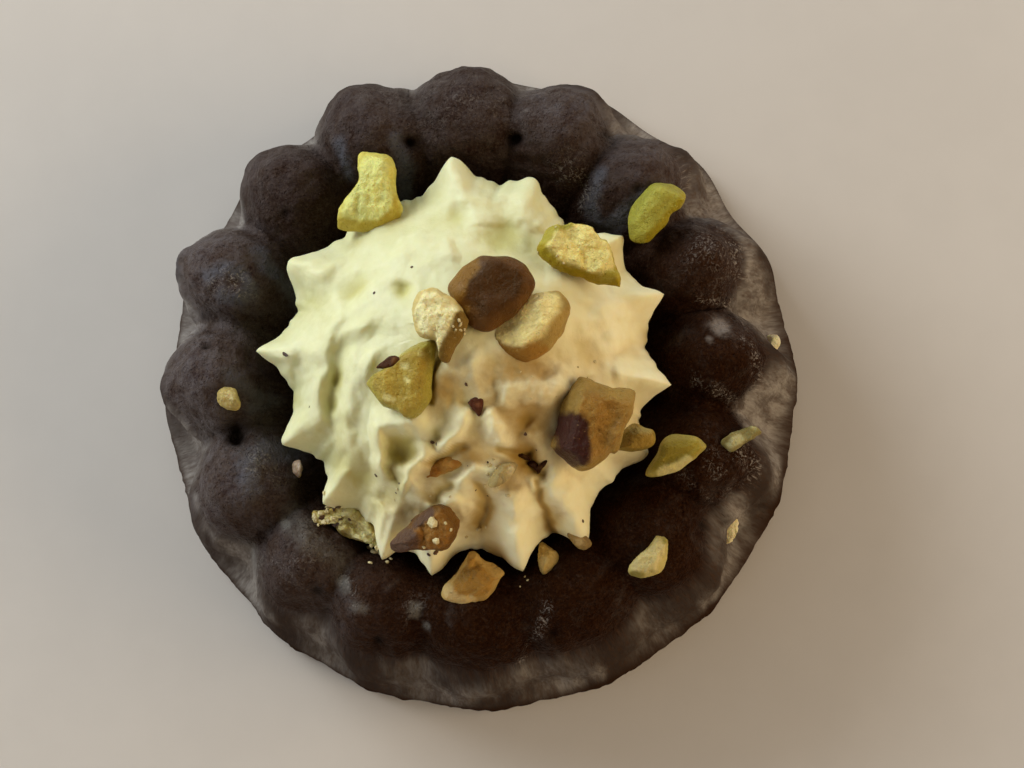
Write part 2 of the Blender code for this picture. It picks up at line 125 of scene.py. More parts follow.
CREST_GAIN, CREST_UNEVEN = 1.15, 0.45  # how much larger the folds are than drawn, and how uneven
CREST_ENDS, END_HEIGHT = 0.25, 0.15  # shares of a fold's length that it falls over, and of its height left
TAN_AND_SHADE_ON_CREST, TAN_AND_SHADE_HEIGHTS = 0.6, (0.2, 1.8)  # how much less of that yellow-brown the raised folds get, as it is partly painted shade, and their lifts in mm


class Crest(NamedTuple):
    """A fold of the cream: its crest line, its height and half its width in mm, and its steep side."""

    line: tuple
    height: float
    width: float
    steep: float = 0  # 1 for a drop on the left of its line and -1 for one on the right


class Hollow(NamedTuple):
    """A round hollow, or a round patch of stain or of painted shade: its middle in plan, its depth or its
    strength, and its radius, in mm.
    """

    x: float
    y: float
    depth: float
    radius: float


class Streak(NamedTuple):
    """A streak or a crack: its strength or its depth, half its width in mm, and its line in plan."""

    strength: float
    width: float
    line: tuple


CREAM_CRESTS = (
    Crest(((-7, 3.5), (-12.5, 3.5), (-16.7, 2.5), (-18.4, -1), (-19.2, -4.5), (-19.5, -9),
           (-19, -12)), 1.7, 2.2, 0.8),
    Crest(((-8.5, 0.5), (-12, -0.5), (-14, -3), (-14.6, -6.5), (-15, -9.5), (-14.4, -13),
           (-12.5, -16.5)), 1.7, 1.7, -0.4),
    Crest(((-3.4, -11.2), (-4.9, -10), (-7.4, -9.2), (-9.9, -9.8), (-10.4, -12.6), (-9.6, -15.4),
           (-7.8, -18.2)), 2.2, 1.2, 0.5),
    Crest(((-7.4, -18.6), (-6.4, -15.8), (-4.7, -13.7), (-3.4, -11.6)), 2, 1),
    Crest(((1.6, -7), (0.9, -9.2), (-0.2, -11.5), (-2.2, -13)), 1.8, 0.9, 0.5),
    Crest(((11, 9.5), (15.4, 8.4), (18.6, 5.9), (20.7, 2.3)), 1.1, 2.2, -0.6),
    Crest(((12, 3.8), (16, 5), (19.5, 4.2), (22, 1)), 0.9, 2, -0.5),
    Crest(((8.5, -28.5), (8.5, -26.5), (7.8, -21.2), (7.2, -17.2)), 2, 1.7, 0.3),
    Crest(((17.8, -26), (15.5, -21.2), (13.2, -17.2), (11.5, -14.5)), 1.8, 1.9, -0.3),
    Crest(((-6.5, -29), (-5, -25), (-3, -20)), 1.4, 1.7),
    Crest(((-14, -26), (-12, -22), (-10, -19)), 1.2, 1.6),
    Crest(((-2, 30), (-1, 26), (2, 21), (3, 17.5)), 1.4, 2.3, -0.6),
    Crest(((12.5, 26), (10.5, 21.5), (9.5, 17)), 1.2, 2.4, 0.4),
    Crest(((-28, 14), (-22, 13.6), (-16, 12.4)), 1.3, 2.4, 0.4),
    Crest(((-31, 1.5), (-26, 0.8), (-22, -0.3)), 1.2, 2, 0.3),
    Crest(((-27, -12.5), (-23, -9.5), (-21.5, -5)), 1.2, 2.1, 0.3),
    Crest(((-21, -23), (-18.5, -18), (-17.5, -14)), 1, 1.9, 0.3),
    Crest(((15.8, -3.6), (13.6, -4.8), (10.4, -5.9), (7.6, -6.4), (5.4, -7)), 1.8, 1.8, 0.7),
    Crest(((8.4, -9.8), (10.3, -11.2), (12.4, -12.4)), 0.7, 1.3, -0.4),
    Crest(((4, -7.6), (5, -9.2), (6.2, -11.2), (5.6, -13)), 2, 0.85, 0.3),
    Crest(((-1, -17.5), (1.5, -15.8), (4.5, -15.5), (5.5, -17)), 1.6, 1.1, 0.4),
    Crest(((-3, -20), (0, -19.5), (1.5, -22)), 1.3, 1.1),
    Crest(((-8, -14), (-6, -17.5), (-3.5, -20)), 1.2, 1, 0.4),
    Crest(((8.8, -17.5), (11, -16.8), (13, -18)), 1.4, 1.1, -0.4),
    Crest(((1, -1), (3, -4.5), (3.4, -7)), 0.9, 2, 0.4),
    Crest(((28, 10), (23, 9), (19, 10)), 1, 1.8, 0.3),
    Crest(((29, -4.5), (25, -3), (20, -2.5)), 0.9, 1.9, 0.4),
    Crest(((21.5, -17), (18, -15.5), (14, -13)), 0.9, 1.8),
    Crest(((-9, 15), (-4, 14), (0, 15)), 0.9, 2.2, 0.3),
)
CREAM_CRACKS = (
    Streak(1.3, 0.45, ((-0.6, 2), (-1.8, -1), (-2.4, -4), (-3.2, -6.3))),
    Streak(0.9, 0.5, ((5.6, -12.6), (8, -13.4), (9.6, -13))),
    Streak(1, 0.5, ((-5, -14.6), (-2, -13.6), (1, -12.6))),
    Streak(0.8, 0.6, ((2, -16.5), (3.5, -19), (3, -22))),
    Streak(0.8, 0.5, ((9.8, -16.6), (11, -19.5), (12.4, -22.5))),
    Streak(0.7, 0.6, ((-6.5, -17.5), (-3.5, -18.5), (-1, -17))),
)
CREAM_HOLLOWS = (
    Hollow(-16.3, -3, 1.5, 1.5), Hollow(-16.9, -6, 0.8, 1.3), Hollow(-7.4, -12.4, 2.2, 1.7),
    Hollow(-8.5, -15.6, 1.2, 1.4), Hollow(5.4, 16.3, 1.3, 2.8), Hollow(0, 19.5, 0.6, 2.2),
    Hollow(-7.4, 8.5, 1.1, 1.2), Hollow(-14.2, 9.2, 0.9, 1.8), Hollow(-20.5, 7.5, 0.7, 3),
    Hollow(-2, -15, 1.2, 1.8), Hollow(9.2, -8.6, 1, 1.3), Hollow(9, -13.9, 2.2, 1.3),
    Hollow(10.8, -16, 1.8, 1.5), Hollow(2.7, -20.5, 1.4, 1.8), Hollow(-3.5, -21.5, 1, 1.7),
    Hollow(13.9, -20.5, 1, 1.6), Hollow(1.2, -5.5, 0.8, 2.2), Hollow(11.6, -21.5, 1.1, 1.5),
    Hollow(-13.2, -15.8, 1.3, 1.5), Hollow(24, 3.5, 0.7, 2.2), Hollow(-24, -4.5, 0.7, 2.6),
    Hollow(17.5, 0.5, 0.6, 2.4), Hollow(-2.4, -10.8, 0.9, 1.2), Hollow(7.6, -6.2, 0.8, 1.1),
)

# Places in plan, mm: pores of the cake, painted black inside as shade, and where its glaze has dried grey,
# which is partly painted sheen and glints
CAKE_PORES = (
    Hollow(6.9, 31.6, 1.1, 0.9), Hollow(-32, -9.4, 1.3, 1.4), Hollow(-7.3, 31.2, 0.9, 1),
    Hollow(24, 24, 0.5, 0.6), Hollow(-25, 21, 0.5, 0.7), Hollow(33, -22, 0.6, 0.6),
    Hollow(12, -37, 0.5, 0.7), Hollow(-12, -38, 0.6, 0.8), Hollow(38, 8, 0.5, 0.6),
    Hollow(-36, 3, 0.6, 0.7), Hollow(20, 33, 0.5, 0.6), Hollow(-20, -31, 0.6, 0.9),
)
# Grey patches of the glaze: partly dried bloom and partly painted sheen, reflections of the lights
BLOOM_AND_SHEEN_STREAKS = (
    Streak(0.85, 1.2, ((-35.4, 12.6), (-33.4, 13.6), (-30.6, 12.8), (-29.4, 10.6), (-31, 9.2),
                       (-33.6, 9.6))),
    Streak(0.75, 1.3, ((-28.8, 16.5), (-26.9, 13.6), (-24.8, 11.5), (-23.8, 9.3))),
    Streak(0.6, 1.4, ((-32.2, -1.5), (-30, -3.2), (-27.6, -4.6), (-29.6, -5.7))),
    Streak(0.7, 2.2, ((-29, -16.7), (-29.7, -13.2), (-27.7, -11.2), (-24.9, -11.9))),
    Streak(0.75, 1, ((-17.5, 31.4), (-17, 29.2), (-16.4, 27))),
    Streak(0.75, 1.3, ((-9.4, 31.5), (-8.5, 28.4), (-9.1, 24.5))),
    Streak(0.75, 1.3, ((19, 26.6), (17.6, 23.1), (18.7, 20.2))),
    Streak(1, 1.6, ((20.4, 19.6), (22.6, 21), (25, 22.4))),
    Streak(0.6, 1.6, ((42.7, -26), (40.7, -29.8))), Streak(1.1, 1.3, ((35, 5.2), (35.2, 5))),
    Streak(0.6, 0.6, ((33.4, 3.2), (33.6, 3))), Streak(0.5, 2, ((-24, -20), (-21, -24), (-17, -27))),
    Streak(0.4, 2, ((-41, 20), (-44, 13))), Streak(0.9, 0.9, ((-24.6, -21.6), (-24.2, -22))),
    Streak(0.85, 1, ((-16.6, -29.6), (-16.2, -30.2))), Streak(0.85, 0.9, ((-6.4, -33), (-6.6, -33.8))),
    Streak(0.7, 0.6, ((-5.2, -35.4), (-5, -35.8))), Streak(0.6, 0.9, ((-14.6, -33), (-13.4, -33.4))),
    Streak(0.5, 1.5, ((-29.5, -27), (-31, -25))),
)
# Pale specks: partly chalky dried glaze and partly painted glints of the warm light on the rough flutes
CHALK_AND_GLINT_STREAKS = (
    Streak(0.8, 1.4, ((36.4, 19.4), (38.2, 16.3), (38.4, 11.4))),
    Streak(1, 0.5, ((38.4, 11.4), (36.3, 9.2), (32.4, 9.1))),
    Streak(0.9, 1, ((38.6, 3.2), (40.2, 0.8), (40.5, -2.4), (39.5, -4.2))),
    Streak(1.3, 0.7, ((31.8, -2.3), (34.3, -3.5), (37, -4.9), (39.3, -6.3))),
    Streak(0.9, 0.5, ((29.8, -15.1), (32.1, -17.2), (33.7, -18.7))),
    Streak(0.6, 1.6, ((32.7, -12.2), (34.7, -14.3), (35.8, -17))),
    Streak(0.7, 1.3, ((37.1, -12), (40.1, -14), (40.4, -16.8), (38.8, -18.9), (37.4, -19.8))),
    Streak(0.9, 0.6, ((11.3, -32.9), (10.7, -35.1), (9.2, -38.5), (7.5, -40.5))),
    Streak(0.6, 2.2, ((14.5, 27), (16, 24))), Streak(0.8, 1.6, ((-34, 11.6), (-32.4, 12.6), (-31, 11))),
    Streak(0.5, 2.4, ((-28, -13), (-27, -15))), Streak(0.5, 1, ((-16.5, -29.5), (-14.5, -32.5))),
    Streak(0.5, 1.2, ((-6.3, -33), (-7, -34))), Streak(0.25, 4, ((-22, -26), (-26, -28))),
    Streak(0.15, 5, ((10, 38), (-8, 38))), Streak(0.4, 1.6, ((26, 33), (31, 29), (33, 23))),
    Streak(0.45, 1.4, ((36.5, 20), (33.5, 22.5), (30, 23.5))),
    Streak(0.45, 1.2, ((37, 8), (39.5, 5.5), (39.5, 3))), Streak(0.4, 3.5, ((36, 14), (33, 16))),
)
# Lighter, duller patches of the glaze: partly dull dried glaze and partly painted sheen where light from the
# back left reflects
DULL_AND_SHEEN_STREAKS = (
    Streak(0.42, 8, ((-30, 28), (-12, 38), (6, 37))), Streak(0.8, 7, ((12, 37), (20, 35), (32, 26))),
    Streak(1, 9, ((-35, 16), (-38, 2), (-33, -14))), Streak(0.45, 6, ((-28, -24), (-18, -32))),
    Streak(0.25, 5, ((36, 14), (37, 8))),
)
# Streaks of painted sheen down the walls, standing in for reflections of the floor and the lights
WALL_SHEEN_STREAKS = (
    Streak(0.8, 2.4, ((-35.1, 23.6), (-38.3, 21.8), (-41.9, 19.5))),
    Streak(0.6, 1.8, ((-40.6, 5.8), (-43.6, 3.9), (-46.4, 1.5))),
    Streak(0.3, 1.5, ((-42.7, 12.7), (-42, 8.9))),
    Streak(0.5, 1.2, ((-43.3, -6.2), (-41.7, -9.5), (-43.8, -13), (-43, -16.2))),
    Streak(0.5, 1.2, ((-38.9, -18.2), (-36.1, -20.1))),
    Streak(0.5, 1.3, ((-36.7, -21.6), (-34.1, -24.1), (-33.3, -28.6), (-34.2, -32.3))),
    Streak(0.45, 1.3, ((-31.6, -26.4), (-31.5, -32.3), (-28.8, -34.9))),
    Streak(0.5, 1.4, ((-25.3, 37.1), (-27.1, 35.2), (-29, 34))),
    Streak(0.35, 1.6, ((-7.5, 45.3), (-10.6, 43.4), (-12.6, 42.5))),
    Streak(0.6, 1.7, ((39.3, 18.3), (40.8, 14.2), (42.8, 11.2))),
    Streak(0.7, 2.4, ((47, 0.2), (43.7, -3), (40.5, -5.2))),
    Streak(0.45, 1.4, ((46, -7.5), (44.8, -11.9), (45.3, -14.8))),
    Streak(0.6, 1.5, ((42.2, -24.4), (39.6, -26.5), (37.8, -29.4))),
    Streak(0.5, 1.4, ((36.5, -17.7), (39.4, -20.7))), Streak(0.35, 1.4, ((36.3, -30.9), (33.7, -32.4))),
    Streak(0.3, 1.5, ((2.3, -45.4), (-5, -46.6))), Streak(0.35, 1.5, ((12.5, -45.7), (18.4, -42.8))),
    Streak(0.5, 2, ((33, 34.8), (35.6, 30.9), (39, 24.8))), Streak(0.4, 1.5, ((25, 41), (28.7, 38.2))),
)
# Olive patches on the cream: partly stain from the nuts and partly painted shade in its hollows
CREAM_STAINS_AND_SHADE = (
    Hollow(-15.8, -13.4, 0.7, 3.2), Hollow(-10, 4, 0.35, 2.5), Hollow(-20, -9, 0.3, 3),
    Hollow(-16.3, -3.2, 0.5, 1.6), Hollow(-7.2, -12.6, 1.3, 2), Hollow(-13.2, -15.2, 0.9, 2),
    Hollow(-7.4, 8.5, 0.9, 1.1), Hollow(-14.2, 9.2, 0.7, 1.6), Hollow(-14.5, 16.5, 0.7, 1.2),
    Hollow(5.4, 16.3, 0.5, 2.6), Hollow(-19, 5.5, 0.35, 3), Hollow(-11, -19, 0.8, 2.2),
    Hollow(-23.5, -5, 0.35, 2.4), Hollow(-15.6, -8.5, 0.4, 2), Hollow(-8, -17, 0.8, 2),
)
# Yellow-brown patches on the cream: partly stain from broken kernels and partly painted shade low in its
# hollows and middle
CREAM_TAN_AND_SHADE = (
    Hollow(12.3, -4.7, 0.7, 3), Hollow(9.1, -6.2, 0.5, 2.4), Hollow(-1.5, -5, 0.8, 3.4),
    Hollow(5.5, -4.5, 0.7, 3.4), Hollow(11.5, -5, 0.5, 3), Hollow(9.8, -10.3, 0.75, 2.8),
    Hollow(8.8, -13.8, 1.1, 1.8), Hollow(1.5, -13.5, 0.9, 2.4), Hollow(-4, -15, 0.7, 2.2),
    Hollow(6.5, -17, 0.7, 2.4), Hollow(-5, -20.5, 0.7, 2.4), Hollow(1.5, -21, 0.6, 2.4),
    Hollow(12, -20.5, 0.4, 2.2), Hollow(14.5, -14.5, 0.4, 2.4), Hollow(9, -1, 0.6, 3),
    Hollow(6, -9, 0.4, 2.6), Hollow(-10, -20, 0.5, 2.4),
)


class Nut(NamedTuple):
    """A broken piece of kernel, drawn in plan and laid on what is below it, with its colours."""

    name: str
    slot: str
    place: tuple  # x and y of its middle, mm
    outline: tuple  # its edge in plan round its middle, anticlockwise, mm
    thickness: float  # mm
    crown: float  # 1 for a rounded top and 0 for a flat broken one
    lean: tuple  # how far its +X side and its +Y side are raised, degrees
    face: tuple  # colour of its broken top
    side: tuple  # colour of its rounded side
    patch: tuple  # colour of its odd patches
    patches: tuple = ()  # each odd patch: its half width and the points of its line round its middle, mm
    roughness: float = 0.5
    rough: float = 0.22  # how crumbly its broken top is, mm
    crease: tuple = ()  # a groove over its top: x, y, x, y, depth and half width, mm
    skin_rim: float = 0.35  # how far the colour of the side runs in over the top, from 0 to 1
    chips: int = 3  # how many flat faces it has broken along
    lift: float = 0  # above the ground, only for pieces that aren't nodes, mm


NUTS = (
    Nut("pistachio_brown_round", "brown_skin", (5, 7),
        ((-3.6, 3), (-5, 1.7), (-5.5, 0), (-5, -1.7), (-3.7, -2.7), (-2.5, -4.6), (-1, -5.4), (0.7, -4.8),
         (2.6, -3.4), (4.4, -1.7), (5.5, 0.5), (5.1, 2.5), (3.7, 3.9), (1.3, 4.6), (-1.4, 4.5)),
        4.6, 0.75, (-5, -6), face=(0.07, 0.025, 0.004), side=(0.13, 0.052, 0.01), patch=(0.21, 0.1, 0.015),
        patches=((1.5, (-4.9, -0.8), (-4.3, 1.6), (-3, 3)), (0.5, (-3.4, -2.8))),
        roughness=0.36, rough=0.06, crease=(1, 0.5, 2, 0.6, 0.8, 2), skin_rim=0.5, chips=0),
    Nut("pistachio_egg_half", "cut_kernel", (16, 13),
        ((-4.5, -1), (-3, -2.5), (0.5, -3.5), (4.5, -4.5), (5.5, -4), (4.5, 0.5), (3, 2), (2, 3.5),
         (0.5, 4), (-2, 4), (-4, 3.5), (-5, 2), (-5.5, 0)),
        4.6, 0.15, (-13, -12), face=(0.9, 0.74, 0.25), side=(0.38, 0.27, 0.014), patch=(0.36, 0.29, 0.04),
        patches=((0.7, (-4.6, 1.5), (-3.8, 2.8), (-1.5, 3.4)), (0.6, (3.4, -3.9), (4.8, -3.2))),
        roughness=0.55, rough=0.3, crease=(-2, 3, 1, -2.5, 0.6, 0.7), skin_rim=0.25),
    Nut("pistachio_half_moon", "cut_kernel", (10, 2.5),
        ((-5.5, -2.5), (-4, -4), (-2, -4.5), (0, -4.5), (2, -3), (3.5, -1), (4.5, 1), (5, 3), (4, 4.5),
         (2, 5), (0, 4.5), (-1, 2.5), (-3.5, 1), (-5.5, -0.5)),
        6.4, 0.25, (17, -17), face=(0.97, 0.78, 0.31), side=(0.42, 0.27, 0.07), patch=(0.3, 0.15, 0.028),
        patches=((1, (-4.6, -3.2), (-2.6, -4.4), (0, -4.8), (2.4, -3.6)),), rough=0.2, skin_rim=0.22),
    Nut("pistachio_pale_chunk", "cut_kernel", (-1.5, 3),
        ((-3.5, -0.5), (-2.5, -2), (-0.5, -2.5), (0, -5), (1, -5.5), (2, -4), (3, -2), (3.5, 0), (2.5, 2),
         (1, 3), (-0.5, 4), (-2, 4), (-3.5, 3)),
        5, 0.6, (4, 0), face=(0.97, 0.85, 0.42), side=(0.66, 0.5, 0.18), patch=(0.19, 0.11, 0.022),
        patches=((1.1, (0.8, -5), (2, -3), (3, -1), (3.2, 0)),),
        rough=0.3, crease=(-3, 2, 2.5, 1.5, 0.5, 0.5)),
    Nut("pistachio_green_fold", "green_kernel", (-6, -4.5),
        ((-5, -1.5), (-3.5, -3), (-1, -4), (0, -5), (1.5, -4.5), (3, -2.5), (3.5, 1), (4, 3), (4, 5),
         (2.5, 5), (0.5, 4.5), (-1, 3), (-3, 1.5), (-4.5, 1), (-5.5, -0.5)),
        4.6, 0.3, (9, 6), face=(0.48, 0.33, 0.05), side=(0.42, 0.34, 0.055), patch=(0.66, 0.56, 0.2),
        patches=((0.3, (0, 2), (0.5, 1.9)), (0.35, (-2.2, -2), (-1.4, -2.3)),
                 (0.25, (0.4, 0.3), (0.8, 0)), (0.3, (2.4, 3.4))),
        roughness=0.28, rough=0.14, crease=(3, -3.5, 3.3, 4, 0.7, 0.3)),
    Nut("pistachio_purple_chunk", "purple_skin", (17.5, -9.5),
        ((-2, 5.5), (-3.5, 3), (-4.5, -1), (-5, -4), (-3.5, -5), (-2, -6.5), (1, -5.5), (2.5, -4),
         (3.5, -3.5), (5, 0.5), (5.5, 2.5), (5.5, 4.5), (3, 4.5), (0.5, 5.5), (-1.5, 6)),
        6.6, 0.15, (-17, 8), face=(0.38, 0.2, 0.04), side=(0.36, 0.22, 0.05), patch=(0.042, 0.011, 0.009),
        patches=((2, (-3, -0.6), (-2.7, -4)),),
        roughness=0.4, rough=0.28, crease=(0.6, -4.5, 2.4, 2.5, 0.6, 1.1), skin_rim=0.5, chips=5),
    Nut("pistachio_olive_bit", "green_kernel", (24, -11),
        ((-1, -2), (1, -1.5), (2, -0.5), (2, 1), (1, 1.5), (-0.5, 2), (-1.5, 1.5), (-3, -1.5)),
        3.2, 0.5, (-12, 6), face=(0.4, 0.24, 0.037), side=(0.33, 0.22, 0.04), patch=(0.38, 0.3, 0.1),
        patches=((0.5, (-1, 1), (1, 1)),), roughness=0.4, rough=0.1),
    Nut("pistachio_wedge", "pale_kernel", (-12, 22.5),
        ((-2, 4), (-2.5, 1), (-4, -1), (-5, -4), (-4, -5), (0.5, -5), (2.5, -4.5), (4, -2), (3.5, -0.5),
         (3, 2), (3, 4), (1.5, 6), (-1.5, 6)),
        5.4, 0.45, (0, -3), face=(0.83, 0.79, 0.25), side=(0.68, 0.58, 0.12), patch=(0.44, 0.33, 0.05),
        patches=((0.9, (-4.6, -4.2), (-1.5, -5), (1.2, -4.9), (3.2, -3.4)),
                 (0.35, (3.4, -2.4), (3.2, -0.8)), (0.25, (-2.4, 0.8)), (0.25, (-0.9, -0.8))),
        rough=0.3, crease=(-1.5, -4, -1.8, 2, 0.3, 0.6)),
    Nut("pistachio_leaf", "green_kernel", (26.5, 20.5),
        ((-3.5, -2), (-3, -4), (-1.5, -4.5), (0, -3.5), (1.5, -2), (2.5, -0.5), (4, 1), (4.5, 3), (2, 4),
         (-0.5, 3.5), (-2, 2), (-3.5, 0)),
        4.6, 0.8, (-12, 8), face=(0.44, 0.4, 0.06), side=(0.34, 0.31, 0.04), patch=(0.32, 0.25, 0.015),
        # its patch along the lower right is partly its dark green skin and partly painted shade on the side
        # away from the key light
        patches=((1.1, (-0.4, -3.8), (1.2, -2), (2.8, 0), (4.2, 1.6)),),
        roughness=0.42, rough=0.1, crease=(-3, -3, 3.5, 2.8, 0.3, 0.9)),
    Nut("pistachio_green_side", "green_kernel", (29, -13),
        ((-3.5, -3), (-2, -3), (-0.5, -2.5), (1.5, -1.5), (3, 0), (4, 1), (3.5, 2), (1.5, 2.5),
         (-0.5, 2.5), (-2, 1.5), (-3, -0.5), (-4, -2.5)),
        4.2, 0.5, (-4, 4), face=(0.38, 0.28, 0.033), side=(0.46, 0.36, 0.08), patch=(0.62, 0.52, 0.2),
        patches=((0.75, (-2, -2.4), (-0.4, -2), (1.4, -1)),),
        roughness=0.36, rough=0.1, crease=(-3, -2, 3, 1.2, 0.35, 0.5)),
    Nut("pistachio_pale_drop", "pale_kernel", (25.5, -26.5),
        ((-2, -3), (0, -3), (2, -1.5), (2.5, 1), (1.5, 3), (0, 1.5), (-1.5, 0), (-3, -1.5), (-3, -2.5)),
        4.2, 0.7, (2, 4), face=(0.76, 0.63, 0.27), side=(0.58, 0.46, 0.14), patch=(0.3, 0.24, 0.05),
        patches=((0.5, (-2.4, -2.6), (-1.2, -2.8)), (0.4, (2, 1.8)), (0.2, (0.2, -2.2))),
        roughness=0.45, rough=0.2),
    Nut("pistachio_tan_chunk", "amber_kernel", (1.5, -30),
        ((-2.5, 1), (-4, -1.5), (-3.5, -2.5), (-1.5, -3.5), (0, -3), (2.5, -2), (3.5, 0), (4, 1),
         (1.5, 3), (0, 4)),
        4.6, 0.4, (0, 8), face=(0.48, 0.255, 0.05), side=(0.56, 0.35, 0.1), patch=(0.6, 0.42, 0.17),
        patches=((0.95, (-3.2, -1.2), (-2.2, -2.6), (-0.4, -2.6)),),
        roughness=0.42, rough=0.25, crease=(-2, 0.5, 1, 2.5, 0.5, 0.5)),
    Nut("pistachio_amber_chunk", "amber_kernel", (-4, -23.5),
        ((-4.5, -2.5), (-2, -2.5), (1, -2.5), (3, -2), (4, 0), (4, 1.5), (2.5, 3.5), (1, 3.5), (-1, 2.5),
         (-3, 0.5), (-5, -1.5)),
        5.2, 0.2, (4, 12), face=(0.33, 0.15, 0.028), side=(0.17, 0.075, 0.014), patch=(0.1, 0.052, 0.032),
        patches=((1.6, (-4.2, -1.9), (-2.2, -0.8)), (0.6, (-1.4, 1), (0.6, 2.8))),
        roughness=0.42, rough=0.35, crease=(-0.6, -2.4, -0.2, 2.2, 0.5, 0.5)),
    Nut("pistachio_skin_cluster", "green_kernel", (-15.5, -22),
        ((-5, 0), (-3, 0), (-1.5, -1.5), (0, -2), (2, -3), (4, -3.5), (4.5, -2), (2.5, 1), (1, 2.5),
         (-0.5, 3), (-4, 1.5), (-5.5, 1.5)),
        3.2, 0.5, (3, 4), face=(0.8, 0.66, 0.26), side=(0.5, 0.36, 0.1), patch=(0.8, 0.7, 0.34),
        patches=((0.6, (0.8, -1.8), (2.2, -1.2)), (0.5, (-0.8, 1.6), (0.6, 1.8)),
                 (0.5, (2.6, -2.8), (3.6, -2.8)), (0.3, (2, 0))),
        roughness=0.4, rough=0.5, crease=(-2, 1.5, 3.5, -2.5, 1, 0.6)),
)


def oval(length, width, angle, corners=8):
    """The outline of a small piece, its length turned by an angle in degrees."""
    turn = math.radians(angle)
    points = []
    for i in range(corners):
        a = math.radians(360 * i / corners)
        x, y = length / 2 * math.cos(a), width / 2 * math.sin(a)
        points.append((x * math.cos(turn) - y * math.sin(turn), x * math.sin(turn) + y * math.cos(turn)))
    return tuple(points)


CAKE_BITS = (
    Nut("sliver", "pale_kernel", (38, -10.5),
        ((-2, -2.5), (0, -1.5), (1.5, -0.5), (3, 1), (2.5, 2), (1, 1.5), (-1, 0.5), (-3, -1)),
        2.6, 0.3, (0, 0), face=(0.3, 0.25, 0.09), side=(0.24, 0.19, 0.06), patch=(0.46, 0.42, 0.2),
        patches=((0.6, (-2, -1.8), (-0.8, -1)), (0.4, (1.6, 1))), lift=0.4),
    Nut("tan_bit", "cut_kernel", (11.5, -27),
        ((-1, 0.5), (-1, -1.5), (0, -2.5), (1.5, 0), (0.5, 1.5), (-1, 2.5)),
        3, 0.3, (0, 0), face=(0.58, 0.4, 0.13), side=(0.48, 0.33, 0.11), patch=(0.6, 0.46, 0.2),
        patches=((0.5, (0, -1)),), lift=0.5),
    Nut("side_bit", "pale_kernel", (37.6, -22.8), oval(4.2, 3, 75),
        2.6, 1, (0, 0), face=(0.95, 0.82, 0.46), side=(0.85, 0.7, 0.36), patch=(0.8, 0.7, 0.4),
        patches=((0.5, (0, 0.6)),), lift=0.4),
    Nut("round_bit", "pale_kernel", (-32, -5), oval(3.6, 3.3, 0),
        2.6, 1, (0, 0), face=(0.66, 0.52, 0.2), side=(0.54, 0.4, 0.13), patch=(0.72, 0.6, 0.28),
        patches=((0.5, (-0.4, 0.5)),), lift=0.4),
    Nut("pink_bit", "cut_kernel", (-23.5, -14.5), oval(2.6, 1.6, 80),
        1.8, 1, (0, 0), face=(0.7, 0.5, 0.36), side=(0.55, 0.38, 0.25), patch=(0.8, 0.62, 0.46),
        patches=((0.4, (0, 0.5)),), lift=0.3),
    Nut("low_bit", "pale_kernel", (45.3, 6.2), oval(3.2, 2.5, 60),
        2.2, 1, (0, 0), face=(0.95, 0.85, 0.52), side=(0.88, 0.74, 0.42), patch=(0.8, 0.7, 0.4), lift=0.3),
)
